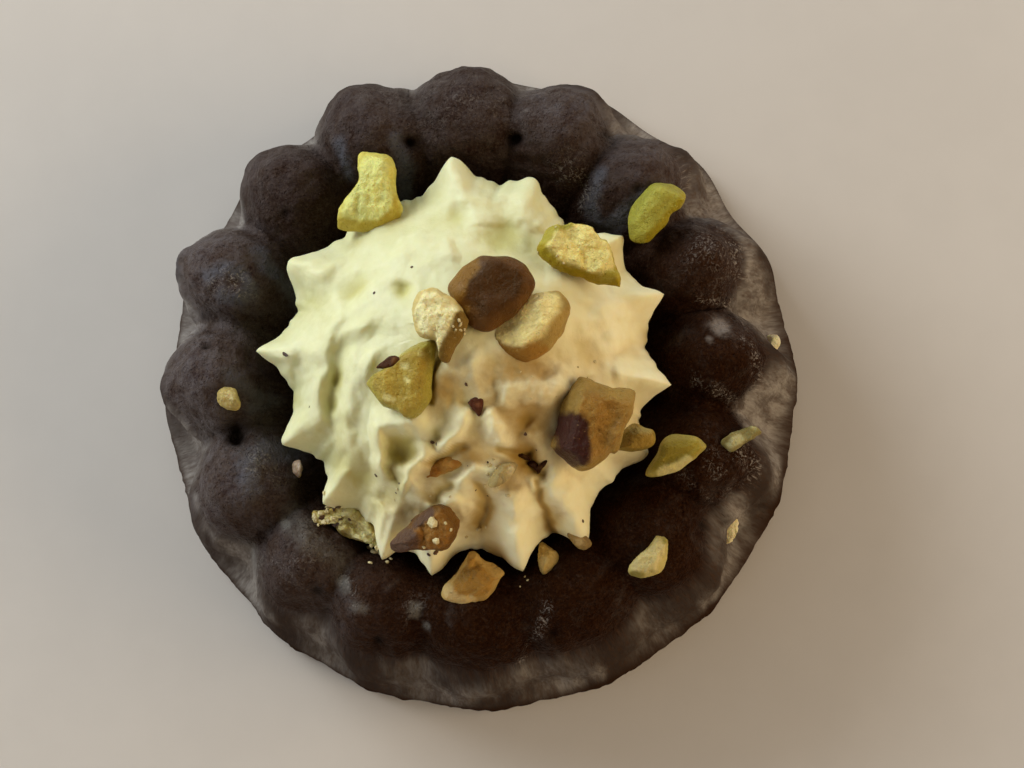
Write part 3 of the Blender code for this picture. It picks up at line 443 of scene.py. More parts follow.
CREAM_BITS = (
    Nut("tan_crumb", "cut_kernel", (6, -16),
        ((-1, -2), (1, -0.5), (2.5, 1), (1, 1.5), (-1, 0.5), (-2, -1.5)),
        3.2, 0.4, (0, 0), face=(0.52, 0.4, 0.17), side=(0.42, 0.31, 0.12), patch=(0.6, 0.48, 0.25),
        patches=((0.6, (0.6, 0.2)),), lift=0.7),
    Nut("skin_chip", "purple_skin", (-8.2, -2.2),
        ((-1.9, -0.8), (1.1, -0.6), (1.5, 0.5), (0.4, 0.9), (-0.6, 0.4)),
        1, 0.6, (0, 0), face=(0.075, 0.026, 0.012), side=(0.06, 0.02, 0.009), patch=(0.14, 0.06, 0.02),
        patches=((0.4, (1, 0.2)),), rough=0.12, lift=3),
    Nut("red_chip", "brown_skin", (3, -7.5), ((0.2, -1.6), (0.7, -0.8), (0.7, 1), (-0.3, 1.2), (-1, 0.3)),
        0.8, 0.6, (0, 0), face=(0.11, 0.028, 0.014), side=(0.07, 0.018, 0.01), patch=(0.2, 0.07, 0.03),
        patches=((0.3, (0.2, 0.2)),), roughness=0.3, rough=0.1, lift=0.2),
    Nut("orange_flake", "amber_kernel", (-1.5, -15),
        ((-1.3, -1.4), (1.1, -0.5), (2.6, 0.3), (2.6, 1.4), (0.6, 1.3), (-1.6, 0.5), (-2.8, -1.7)),
        1.4, 0.7, (0, 0), face=(0.5, 0.25, 0.055), side=(0.48, 0.27, 0.07), patch=(0.34, 0.14, 0.025),
        patches=((0.6, (-2, -1.2), (-1, -0.6)), (0.5, (1.6, 0.9))), rough=0.3, lift=0.15),
    Nut("skin_flake_left", "purple_skin", (8.3, -13.6),
        ((-1.2, 0.7), (-0.3, -0.2), (0.8, -0.8), (1.6, -0.6), (0.4, 0.1), (-0.4, 0.5)),
        0.8, 0.4, (0, 0), face=(0.05, 0.018, 0.008), side=(0.04, 0.014, 0.006), patch=(0.12, 0.06, 0.02),
        patches=((0.2, (0.5, 0)),), rough=0.2, lift=0.1),
    Nut("skin_flake_right", "purple_skin", (10.5, -15),
        ((-1.6, 0.3), (-0.6, -0.3), (0, -1.2), (0.8, -0.5), (1.4, 0.7), (0.9, 0.9), (0.4, 0.1),
         (-0.5, 0.9)),
        0.9, 0.4, (0, 0), face=(0.05, 0.018, 0.008), side=(0.04, 0.014, 0.006), patch=(0.12, 0.06, 0.02),
        patches=((0.2, (0.5, 0)),), rough=0.25, lift=0.15),
    Nut("tip_flake", "cut_kernel", (15.7, -24.5),
        ((-1.3, 0.2), (-0.3, -1.2), (1, -1.4), (1.8, -0.3), (0, 1.3), (-1.2, 1.3)),
        1, 0.5, (0, 0), face=(0.42, 0.27, 0.09), side=(0.3, 0.19, 0.07), patch=(0.5, 0.36, 0.16),
        patches=((0.5, (0.3, 0)),), roughness=0.4, rough=0.1, lift=0.1),
)
NUT_COLUMNS, SIDE_ROWS, TOP_ROWS, FOOT_ROWS = 120, 20, 16, 4
CHUNK_LEVELS = ((-0.5, 0.4, 0.4), (-0.34, 0.78, 0.78), (-0.05, 1, 1), (0.22, 0.97, 0.9), (0.42, 0.9, 0.62),
                (0.5, 0.78, 0.3))
UNDER_SHARE, SWELL = 0.1, 0.06  # the innermost ring underneath, and how far a crown rises in its middle
DENT_DEPTH, DENT_SPREAD = 0.42, 2.4  # mm
CUT_BUMPS = ((0.6, 2.2), (0.8, 0.8), (0.4, 0.4))  # of a broken top: share of its roughness, and spread in mm
CUT_LUMPS, LUMPS_FROM = 1.2, 0.35  # lumps on a broken top, where noise is above this
CHIP_RISES, CHIP_DEPTHS = (0.15, 1.1), (0.05, 0.17)  # radians, and shares of the thickness
CHIP_FLATNESS = 0.8

# Looks: linear colours that no setting holds
WARM_LIT_CREST = (0.050, 0.019, 0.007)  # painted tint of the warm light on the flutes on its side
PLUM = (0.020, 0.009, 0.011)  # blotches on the flutes
# the sides' base colour, lighter than the glaze on top as painted sheen of the floor's reflection at a
# glancing angle
SIDE_SHEEN_BASE = (0.046, 0.033, 0.026)
# painted shade at the foot of the sides
FOOT_SHADE_COLOUR = (0.026, 0.010, 0.004)
# painted sheen: the bluish grey of the key light's reflection on the flutes
SHEEN_MIST = (0.112, 0.094, 0.092)
# specks of the crumb, painted cooler or warmer by the side that each light falls on
COLD_LIT_GRAIN, WARM_LIT_GRAIN = (0.088, 0.062, 0.048), (0.068, 0.028, 0.009)
# greys of the bloom low down, and on the right painted glints of the warm light
LOW_BLOOM_AND_SHEEN, RIGHT_BLOOM_AND_GLINT = (0.19, 0.175, 0.15), (0.34, 0.28, 0.23)
# painted shade inside the pores
PORE_SHADE_BLACK = (0.001, 0.0005, 0.0003)
# blotches of the cream, painted cooler or warmer by the side that each light falls on
COLD_LIT_BLOTCH, WARM_LIT_BLOTCH = (0.68, 0.65, 0.30), (0.91, 0.76, 0.36)
# painted shade in the creases of the cream, cooler or warmer by the side that each light falls on
COLD_CREASE_SHADE, WARM_CREASE_SHADE = (0.57, 0.52, 0.16), (0.55, 0.35, 0.06)
PALE_CRUMB, TAN_CRUMB = (0.74, 0.62, 0.33), (0.5, 0.38, 0.15)
DARK_FLECK, BROWN_FLECK = (0.05, 0.022, 0.010), (0.14, 0.06, 0.02)
WARM_WAY = (22.0, -20.0, 0.0)  # towards the warm light, per metre

# Stage: places and sizes in metres, turns in radians
LIT_SPOT = (0, 0, 0.02)
KEY_PLACE, KEY_SIZE, KEY_COLOUR = (-0.46, 0.37, 0.42), 0.45, (0.91, 0.97, 1.0)
FILL_PLACE, FILL_SIZE, FILL_COLOUR = (0.62, -0.08, 0.36), 0.6, (1.0, 0.82, 0.58)
BRIGHT_WAY = (-0.76, 0.61, 0.2)  # towards the brighter side of what is round the cake
CAMERA_PLACE, CAMERA_TURN = (0.0184, -0.03035, 0.2964), (0.1067, 0.0460, -0.0017)
SENSOR_WIDTH = 36  # mm
FOCAL_PIXELS, PICTURE_WIDTH = 1890, 1024


class Crumbs(NamedTuple):
    """Loose crumbs round a place in plan: how far they spread, how many, and their size, in mm."""

    x: float
    y: float
    spread: float
    count: int
    size: float


PALE_CRUMBS = (
    Crumbs(-19, -21, 2, 14, 0.35), Crumbs(-12, -26, 1.6, 12, 0.32), Crumbs(8.5, -29.5, 1.2, 3, 0.2),
    Crumbs(0.8, 2.6, 0.9, 7, 0.22), Crumbs(17, -0.5, 2, 3, 0.2), Crumbs(-2, 3, 2, 4, 0.2),
    Crumbs(5, -16, 3, 10, 0.3), Crumbs(13, 14, 3, 5, 0.2), Crumbs(0, -20, 5, 8, 0.26),
    Crumbs(-9, -18, 3, 3, 0.2), Crumbs(-3.3, -22.2, 0.2, 2, 0.75), Crumbs(-3, -24.4, 0.3, 3, 0.4),
    Crumbs(10, -3, 4, 4, 0.16),
)
DARK_FLECKS = (
    Crumbs(-23.8, 1, 0.1, 1, 0.36), Crumbs(-20.3, -6.2, 0.1, 1, 0.22), Crumbs(-11, -16.5, 0.8, 1, 0.28),
    Crumbs(-8, -16.7, 0.1, 1, 0.22), Crumbs(-11, 8, 0.1, 1, 0.22), Crumbs(-6, 11.4, 0.1, 1, 0.22),
    Crumbs(1.5, -4.6, 0.1, 1, 0.25), Crumbs(16.2, -21.6, 0.1, 1, 0.28),
    Crumbs(-3.3, -11.6, 0.6, 2, 0.22), Crumbs(-4.2, -26, 0.5, 2, 0.4), Crumbs(9, -13, 1.2, 1, 0.24),
    Crumbs(8.9, -10.6, 0.1, 1, 0.3), Crumbs(-18, -21, 1.8, 8, 0.34), Crumbs(4.6, -14.5, 1, 1, 0.26),
    Crumbs(1, -19, 4, 3, 0.2), Crumbs(-7, -20, 2.4, 2, 0.22),
)


def fade(value):
    """0 below 0, 1 above 1, and smooth between."""
    value = np.clip(value, 0, 1)
    return value * value * (3 - 2 * value)


def rise(value, nothing, full):
    """0 where a value is at nothing, 1 where it is at full or past it, and smooth between."""
    return fade((value - nothing) / (full - nothing))


def hump(degrees, most, middle, spread):
    """The most at one angle, fading to nothing either side of it."""
    apart = (degrees - middle + 180) % 360 - 180
    return most * np.exp(-((apart / spread) ** 2))


def bend(a, b, c, d, t):
    """The Catmull-Rom curve that leaves b at 0 and reaches c at 1."""
    return (2 * b + (c - a) * t + (2 * a - 5 * b + 4 * c - d) * t**2 + (3 * b - a - 3 * c + d) * t**3) / 2


def smooth_curve(knots, count):
    """Points along a Catmull-Rom curve through knots."""
    knots = np.array(knots, float)
    ends = np.vstack((knots[:1], knots, knots[-1:]))
    along = np.linspace(0, len(knots) - 1, count)
    first = np.minimum(along.astype(int), len(knots) - 2)
    return bend(*(ends[first + i] for i in range(4)), (along - first)[:, None])


def closed_curve(knots, count):
    """Evenly stepped points along a closed Catmull-Rom curve through plan points."""
    knots = np.array(knots, float)
    many = len(knots)
    along = np.linspace(0, many, count * 4, endpoint=False)
    first = along.astype(int)
    fine = bend(*(knots[(first + i - 1) % many] for i in range(4)), (along - first)[:, None])
    steps = np.linalg.norm(np.diff(fine, axis=0, append=fine[:1]), axis=1)
    length = np.concatenate(((0,), np.cumsum(steps)))
    even = np.linspace(0, length[-1], count, endpoint=False)
    looped = np.vstack((fine, fine[:1]))
    return np.stack([np.interp(even, length, looped[:, axis]) for axis in range(2)], axis=1)


def noise_at(points, spread, shift=0.0):
    """A smooth random value from -1 to 1 at each point, in mm."""
    moved = Vector((shift, shift, shift))
    return np.array([noise.noise(Vector(point) / spread + moved) for point in points])


def bumps(points, sizes):
    """The sum of some noises at each point, each with its height and spread in mm and its shift."""
    return sum(noise_at(points, spread, shift) * height for height, spread, shift in sizes)


def ring_at(reach, around, height):
    """Points round the axis at these angles in radians, in mm."""
    height = np.broadcast_to(height, around.shape)
    return np.stack((reach * np.cos(around), reach * np.sin(around), height), axis=1)


def ring_mesh(name, rings):
    """A closed smooth mesh from rows of points in mm, the first and last row filled."""
    rings = np.asarray(rings)
    rows, columns, _ = rings.shape
    index = np.arange(rows * columns).reshape(rows, columns)
    after = np.roll(index, -1, axis=1)
    quads = np.stack((index[:-1], after[:-1], after[1:], index[1:]), axis=-1).reshape(-1, 4)
    faces = quads.tolist() + [index[0][::-1].tolist(), index[-1].tolist()]
    mesh = bpy.data.meshes.new(name)
    mesh.from_pydata((rings.reshape(-1, 3) * MM).tolist(), [], faces)
    first, second = rings[rows // 2, 0, :2], rings[rows // 2, 1, :2]
    if first[0] * second[1] < first[1] * second[0]:  # the columns run clockwise
        mesh.flip_normals()
    mesh.shade_smooth()
    return mesh


def points_of(mesh):
    """Its points in mm."""
    points = np.empty(len(mesh.vertices) * 3, np.float32)
    mesh.vertices.foreach_get("co", points)
    return points.reshape(-1, 3).astype(float) / MM


def normals_of(mesh):
    """The direction out of the mesh at each of its points."""
    normals = np.empty(len(mesh.vertices) * 3, np.float32)
    mesh.vertex_normals.foreach_get("vector", normals)
    return normals.reshape(-1, 3).astype(float)


def set_points(mesh, points):
    """Moves its points to these places in mm."""
    mesh.vertices.foreach_set("co", (points * MM).astype(np.float32).ravel())
    mesh.update()


def add_mask(mesh, name, values):
    """Keeps a value from 0 to 1 at each point, which the materials read."""
    mask = mesh.attributes.new(name, "FLOAT", "POINT")
    mask.data.foreach_set("value", np.clip(values, 0, 1).astype(np.float32))


def add_piece(name, mesh, finish, slot, *nodes):
    """An object that rides on the cake and stands for the nodes that it replaces."""
    mesh.materials.append(finish)
    piece = bpy.data.objects.new(name, mesh)
    bpy.context.scene.collection.objects.link(piece)
    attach(piece, ROOT)
    if nodes:
        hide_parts(*nodes)
    return piece


def ground_of(*names):
    """What a piece can lie on, as one search tree for each of these objects."""
    graph = bpy.context.evaluated_depsgraph_get()
    return [BVHTree.FromObject(bpy.data.objects[name], graph) for name in names]


def drop(grounds, x, y):
    """The highest point below a place in plan in mm and the direction out of it, both as mm."""
    hits = [ground.ray_cast(Vector((x * MM, y * MM, 1)), Vector((0, 0, -1))) for ground in grounds]
    place, normal, _, _ = max((hit for hit in hits if hit[0]), key=lambda hit: hit[0].z)
    return place / MM, normal


def spots(points, places):
    """How much of these spots covers each point in plan, fading out at its radius."""
    total = np.zeros(len(points))
    for spot in places:
        apart = np.hypot(points[:, 0] - spot.x, points[:, 1] - spot.y)
        total += spot.depth * np.exp(-((apart / spot.radius) ** 2))
    return total


def line_distance(points, line):
    """How far each point in plan is from a line, how far along it from 0 to 1, and 1 if on its left."""
    line = np.array(line, float)
    best = np.full(len(points), 1e9)
    along, left = np.zeros(len(points)), np.zeros(len(points))
    for i in range(len(line) - 1):
        start, step = line[i], line[i + 1] - line[i]
        away = points[:, :2] - start
        t = np.clip(away @ step / max(step @ step, 1e-9), 0, 1)
        apart = np.linalg.norm(away - t[:, None] * step, axis=1)
        nearer = apart < best
        best[nearer] = apart[nearer]
        along[nearer] = ((i + t) / (len(line) - 1))[nearer]
        left[nearer] = np.sign(step[0] * away[:, 1] - step[1] * away[:, 0])[nearer]
    return best, along, left


def streaks(points, lines):
    """How much of these streaks covers each point in plan, fading out over their width."""
    total = np.zeros(len(points))
    for streak in lines:
        apart, _, _ = line_distance(points, streak.line)
        total = np.maximum(total, streak.strength * np.exp(-((apart / streak.width) ** 2)))
    return total


# Shader helpers


def feed(tree, socket, value):
    """Gives an input a link, a colour or a value."""
    if isinstance(value, bpy.types.NodeSocket):
        tree.links.new(value, socket)
    elif socket.type == "RGBA":
        socket.default_value = (*value[:3], 1)
    else:
        socket.default_value = value


def add_node(tree, kind, inputs=None, **settings):
    """A node of this kind with its settings, and a value or a link for each named input."""
    node = tree.nodes.new(kind)
    for name, value in settings.items():
        setattr(node, name, value)
    for name, value in (inputs or {}).items():
        feed(tree, node.inputs[name], value)
    return node


def maths(tree, operation, one, other=0.0, clamp=False):
    """Two values put together by one operation."""
    node = add_node(tree, "ShaderNodeMath", operation=operation, use_clamp=clamp)
    for socket, value in zip(node.inputs, (one, other)):
        feed(tree, socket, value)
    return node.outputs[0]


def scaled(tree, value, factor, more):
    """A value times a factor, with more added."""
    return maths(tree, "ADD", maths(tree, "MULTIPLY", value, factor), more)


def mix(tree, share, one, other):
    """A colour between two others."""
    node = add_node(tree, "ShaderNodeMix", data_type="RGBA")
    for number, value in ((0, share), (6, one), (7, other)):
        feed(tree, node.inputs[number], value)
    return node.outputs[2]


def steps(tree, value, low, high, to_low=0.0, to_high=1.0):
    """A value spread from one range to another, smoothly, and held at its ends."""
    node = add_node(tree, "ShaderNodeMapRange", interpolation_type="SMOOTHSTEP", clamp=True)
    tree.links.new(value, node.inputs[0])
    for socket, number in zip(node.inputs[1:5], (low, high, to_low, to_high)):
        feed(tree, socket, number)
    return node.outputs[0]


def place(tree):
    """Where a point is on its object, moved where its mesh says that patterns are drawn out."""
    spot = add_node(tree, "ShaderNodeTexCoord").outputs["Object"]
    run = add_node(tree, "ShaderNodeAttribute", attribute_name="run").outputs["Vector"]
    return add_node(tree, "ShaderNodeVectorMath", {0: spot, 1: run}, operation="ADD").outputs["Vector"]


def along(tree, spot, way):
    """How far a place or a direction lies along another."""
    node = add_node(tree, "ShaderNodeVectorMath", {0: spot, 1: way}, operation="DOT_PRODUCT")
    return node.outputs["Value"]


def warm_side(tree, low, high):
    """0 on the side of the cold light and 1 on that of the warm one."""
    return steps(tree, along(tree, place(tree), WARM_WAY), low, high)


def texture(tree, scale, detail=4.0, roughness=0.55, distortion=0.0):
    """Smooth noise with this many lumps to the metre."""
    node = add_node(tree, "ShaderNodeTexNoise", {"Vector": place(tree), "Scale": scale, "Detail": detail,
                                                 "Roughness": roughness, "Distortion": distortion})
    return node.outputs["Fac"]


def mask_of(tree, name):
    """The value that the mesh keeps under this name."""
    return add_node(tree, "ShaderNodeAttribute", attribute_name=name).outputs["Fac"]


def new_group(name, inputs, outputs):
    """An empty node group with these sockets, its input node and its output node."""
    tree = bpy.data.node_groups.new(name, "ShaderNodeTree")
    for label, kind, default in inputs:
        socket = tree.interface.new_socket(label, in_out="INPUT", socket_type=f"NodeSocket{kind}")
        socket.default_value = (*default, 1) if kind == "Color" else default
    for label, kind in outputs:
        tree.interface.new_socket(label, in_out="OUTPUT", socket_type=f"NodeSocket{kind}")
    return tree, tree.nodes.new("NodeGroupInput").outputs, tree.nodes.new("NodeGroupOutput").inputs


def mottle_group():
    """Two colours mixed in soft blotches, with finer flecks of the second in the first."""
    tree, given, made = new_group(
        "Mottled colour",
        (("Colour", "Color", (0.5, 0.5, 0.5)), ("Blotch colour", "Color", (0.2, 0.2, 0.2)),
         ("Blotches per metre", "Float", 200.0), ("Amount", "Float", 0.5)),
        (("Colour", "Color"),))
    broad = texture(tree, given["Blotches per metre"], 3.0)
    fine = texture(tree, maths(tree, "MULTIPLY", given["Blotches per metre"], 5.3), 4.0)
    both = maths(tree, "ADD", maths(tree, "MULTIPLY", broad, 0.65), maths(tree, "MULTIPLY", fine, 0.35))
    mask = maths(tree, "MULTIPLY", steps(tree, both, 0.36, 0.64), given["Amount"])
    tree.links.new(mix(tree, mask, given["Colour"], given["Blotch colour"]), made["Colour"])
    return tree


def ragged_group():
    """A mask whose edge is broken up as a torn or dried edge is."""
    tree, given, made = new_group(
        "Ragged edge",
        (("Mask", "Float", 0.0), ("Teeth per metre", "Float", 800.0), ("Raggedness", "Float", 0.5),
         ("Softness", "Float", 0.1), ("Curl", "Float", 0.0)),
        (("Mask", "Float"),))
    teeth = texture(tree, given["Teeth per metre"], 6.0, 0.65, given["Curl"])
    moves = maths(tree, "MULTIPLY", maths(tree, "SUBTRACT", teeth, 0.5), given["Raggedness"])
    moved = maths(tree, "ADD", given["Mask"], moves)
    low = maths(tree, "SUBTRACT", 0.5, given["Softness"])
    high = maths(tree, "ADD", 0.5, given["Softness"])
    tree.links.new(steps(tree, moved, low, high), made["Mask"])
    return tree


def relief_group():
    """The height of a fine rough surface: lumps, and pits of half their size."""
    tree, given, made = new_group(
        "Fine relief",
        (("Lumps per metre", "Float", 800.0), ("Pits", "Float", 0.3)),
        (("Height", "Float"),))
    lumps = texture(tree, given["Lumps per metre"], 5.0, 0.6)
    scale = maths(tree, "MULTIPLY", given["Lumps per metre"], 1.7)
    cells = add_node(tree, "ShaderNodeTexVoronoi", {"Vector": place(tree), "Scale": scale})
    holes = steps(tree, cells.outputs["Distance"], 0.0, 0.35, 1.0, 0.0)
    pits = maths(tree, "MULTIPLY", holes, given["Pits"])
    tree.links.new(maths(tree, "SUBTRACT", lumps, pits), made["Height"])
    return tree


GROUPS = {"Mottled colour": mottle_group, "Ragged edge": ragged_group, "Fine relief": relief_group}


def grouped(tree, name, **inputs):
    """The outputs of a node group, which is made when it is first used, with what its named inputs get."""
    node = tree.nodes.new("ShaderNodeGroup")
    node.node_tree = bpy.data.node_groups.get(name) or GROUPS[name]()
    for label, value in inputs.items():
        feed(tree, node.inputs[label.replace("_", " ")], value)
    return node.outputs


def mottled(tree, colour, blotch, per_metre, amount):
    """A colour with soft blotches of another."""
    return grouped(tree, "Mottled colour", Colour=colour, Blotch_colour=blotch, Blotches_per_metre=per_metre,
                   Amount=amount)["Colour"]


def ragged(tree, name, teeth, raggedness, softness, curl=0.0):
    """A mask of the mesh with its edge broken up."""
    return grouped(tree, "Ragged edge", Mask=mask_of(tree, name), Teeth_per_metre=teeth,
                   Raggedness=raggedness, Softness=softness, Curl=curl)["Mask"]


def relief(tree, lumps, pits):
    """The height of fine lumps, so many to the metre, and pits."""
    return grouped(tree, "Fine relief", Lumps_per_metre=lumps, Pits=pits)["Height"]


def new_material(name):
    """A material with one Principled shader, as its tree and the inputs of that shader."""
    material = bpy.data.materials.new(name)
    material.use_nodes = True
    return material, material.node_tree, material.node_tree.nodes["Principled BSDF"].inputs


def let_light_in(shader, share, reach, scale):
    """Light that comes out again near where it went in: how much, and how far each colour goes, in mm."""
    shader["Subsurface Weight"].default_value = share
    shader["Subsurface Radius"].default_value = reach
    shader["Subsurface Scale"].default_value = scale * MM


def bump(tree, height, distance, strength=1.0, before=None):
    """The normal of a surface that is raised by a height of up to this distance in mm."""
    inputs = {"Height": height, "Distance": distance * MM, "Strength": strength}
    node = add_node(tree, "ShaderNodeBump", inputs)
    if before:
        tree.links.new(before, node.inputs["Normal"])
    return node.outputs["Normal"]


# Settings that a user would change


class GlazeSettings(bpy.types.PropertyGroup):
    glaze: FloatVectorProperty(name="Glaze", description="Colour of the chocolate in the grooves",
                               subtype="COLOR", size=3, min=0, max=1, default=(0.0135, 0.0040, 0.0014))
    crest: FloatVectorProperty(name="Crest", description="Colour of the chocolate on top of the flutes",
                               subtype="COLOR", size=3, min=0, max=1, default=(0.056, 0.035, 0.026))
    # painted reflection: the sides are lighter with this colour where the floor and the lights would reflect
    # in them
    wall: FloatVectorProperty(name="Wall", description="Colour of the dull glaze down the sides",
                              subtype="COLOR", size=3, min=0, max=1, default=(0.315, 0.280, 0.243))
    # partly dried bloom and partly painted sheen
    bloom: FloatVectorProperty(name="Bloom", description="Colour of the glaze where it has dried grey",
                               subtype="COLOR", size=3, min=0, max=1, default=(0.105, 0.108, 0.125))
    # pale specks, partly chalky glaze and partly painted glints
    chalk: FloatVectorProperty(name="Chalk", description="Colour of the pale specks in the dried glaze",
                               subtype="COLOR", size=3, min=0, max=1, default=(0.42, 0.37, 0.32))
    crumb_height: FloatProperty(name="Crumb height", description="Height of the fine crumb under the glaze",
                                subtype="DISTANCE", min=0, max=0.001, default=0.00016)


class CreamSettings(bpy.types.PropertyGroup):
    cream: FloatVectorProperty(name="Cream", description="Colour of the fresh cream",
                               subtype="COLOR", size=3, min=0, max=1, default=(0.77, 0.735, 0.43))
    # painted warm light: the cream is given this colour on the side of the warm light
    warm: FloatVectorProperty(name="Warm side", description="Colour of the cream on its warm side",
                              subtype="COLOR", size=3, min=0, max=1, default=(0.97, 0.88, 0.56))
    # partly stain from the pistachios and partly painted shade in the hollows
    stain: FloatVectorProperty(name="Stain", description="Colour that the pistachios leave on the cream",
                               subtype="COLOR", size=3, min=0, max=1, default=(0.50, 0.42, 0.12))
    # partly stain from broken kernels and partly painted shade
    tan: FloatVectorProperty(name="Tan", description="Colour of the cream that broken kernels have stained",
                             subtype="COLOR", size=3, min=0, max=1, default=(0.40, 0.225, 0.032))
    fold_height: FloatProperty(name="Fold height",
                               description="How high the folds stand, as a share of their own height",
                               subtype="FACTOR", min=0, max=2, default=1)


class NutSettings(bpy.types.PropertyGroup):
    crumbliness: FloatProperty(name="Crumbliness",
                               description="How rough broken faces are, as a share of their own roughness",
                               subtype="FACTOR", min=0, max=2, default=1)


class StageSettings(bpy.types.PropertyGroup):
    floor: FloatVectorProperty(name="Floor", description="Colour of the floor",
                               subtype="COLOR", size=3, min=0, max=1, default=(0.66, 0.60, 0.535))
    key_power: FloatProperty(name="Key light", description="Power of the soft light from the back left",
                             subtype="POWER", unit="POWER", min=0, default=3.3)
    fill_power: FloatProperty(name="Warm light", description="Power of the warm light from the front right",
                              subtype="POWER", unit="POWER", min=0, default=2.75)
    bright_side: FloatVectorProperty(name="Bright side", description="Light from low down on the back left",
                                     subtype="COLOR", size=3, min=0, default=(1.34, 1.52, 1.70))
    dim_side: FloatVectorProperty(name="Dim side", description="Light from low down on the front right",
                                  subtype="COLOR", size=3, min=0, default=(0.48, 0.34, 0.19))
    overhead: FloatVectorProperty(name="Overhead", description="Light from straight above",
                                  subtype="COLOR", size=3, min=0, default=(0.07, 0.055, 0.04))


# Cake


def flute_angles(turns):
    """The angle of each place that many flutes round, with the drift of the bake, in degrees."""
    degrees = FIRST_FLUTE + turns * 360 / FLUTES
    for drift in FLUTE_DRIFTS:
        degrees = degrees + hump(degrees, *drift)
    return degrees


def lobe(across, fullness):
    """1 on the ridge of a flute and 0 in the grooves at -1 and 1, a wave or, at full, a round bead."""
    wave = 0.5 + 0.5 * np.cos(math.pi * across)
    bead = np.maximum(1 - across * across, 0) ** BULGE_POWER
    return wave + (bead - wave) * fullness


def unevenness(points, steady):
    """How far the bake moved each point, less where it is held steady."""
    moved = np.zeros_like(points)
    for height, spread in UNEVEN_SIZES:
        moved += np.array([noise.noise_vector(Vector(point) / spread) for point in points]) * height
    return moved * (1 - steady)


def drawn_out(points):
    """The points with their reach and height squeezed on the sides, so patterns run down the flutes."""
    reach, height = np.hypot(points[:, 0], points[:, 1]), points[:, 2]
    nearer = np.where(reach > WALL_REACH, WALL_REACH + (reach - WALL_REACH) * WALL_RUN, reach)
    higher = np.where(height < WALL_TOP, WALL_TOP - (WALL_TOP - height) * WALL_RUN, height)
    return np.column_stack((points[:, :2] * (nearer / reach)[:, None], higher))


def cake_rings():
    """Rows of points from the base out, up the flutes, over the top and down to the dish, in mm."""
    ridge = smooth_curve(RIDGE_PROFILE, CAKE_ROWS)
    groove = smooth_curve(GROOVE_PROFILE, CAKE_ROWS)
    turns = np.arange(CAKE_COLUMNS) / (CAKE_COLUMNS / FLUTES) - 0.5
    degrees = flute_angles(turns)
    around = np.radians(degrees)
    across = 2 * ((turns + 0.5) % 1) - 1
    wave = FOOT_WAVE * (1 - lobe(across, 0)) + hump(degrees, *TIGHT_FOOT)
    before = np.floor(turns + 0.5).astype(int)
    depths = np.array(GROOVE_DEPTHS)
    part = (across + 1) / 2
    depth = depths[(before - 1) % FLUTES] * (1 - part) + depths[before % FLUTES] * part
    foot = ((BASE_RADIUS - 12, 0), (BASE_RADIUS - FOOT_BEVEL, 0), (BASE_RADIUS - 0.3, 0.15),
            (BASE_RADIUS - 0.05, FOOT_BEVEL), (BASE_RADIUS, 1.4), (BASE_RADIUS, 2.1),
            (BASE_RADIUS - 0.05, FOOT_HEIGHT))
    edge = ring_at(BASE_RADIUS, around, 0)
    eaten = sum(np.abs(noise_at(edge, spread, 6.0)) * most for most, spread in FOOT_RAGS)
    rings = []
    for radius, height in foot:
        rings.append(ring_at(radius - wave - eaten, around, height))
    for row in range(CAKE_ROWS):
        share = row / (CAKE_ROWS - 1)
        fullness = MOST_FULL * fade((share - 0.15) / 0.3)
        steady = max(fade(1 - share / 0.15), fade((share - 0.85) / 0.15))
        high = 1 - (1 - blur(lobe(across, fullness), GROOVE_SOFTNESS)) * depth
        radius = groove[row, 0] + (ridge[row, 0] - groove[row, 0]) * high
        height = groove[row, 1] + (ridge[row, 1] - groove[row, 1]) * high
        ring = ring_at(radius, around, height)
        rings.append(ring + unevenness(ring, steady) + MIDDLE)
    rings.append(ring_at(DISH_RADIUS, around, DISH_HEIGHT) + MIDDLE)
    return np.array(rings), across


def seat_heights(rings):
    """The highest that the inner slope of the cake stands at each radius of the cream's seat."""
    inner = rings[-CAKE_ROWS // 2:, ::4][::-1] - MIDDLE
    radii = np.hypot(inner[..., 0], inner[..., 1])
    columns = range(inner.shape[1])
    return [max(np.interp(radius, radii[:, i], inner[:, i, 2]) for i in columns)
            for radius in CREAM_SEAT_RADII]


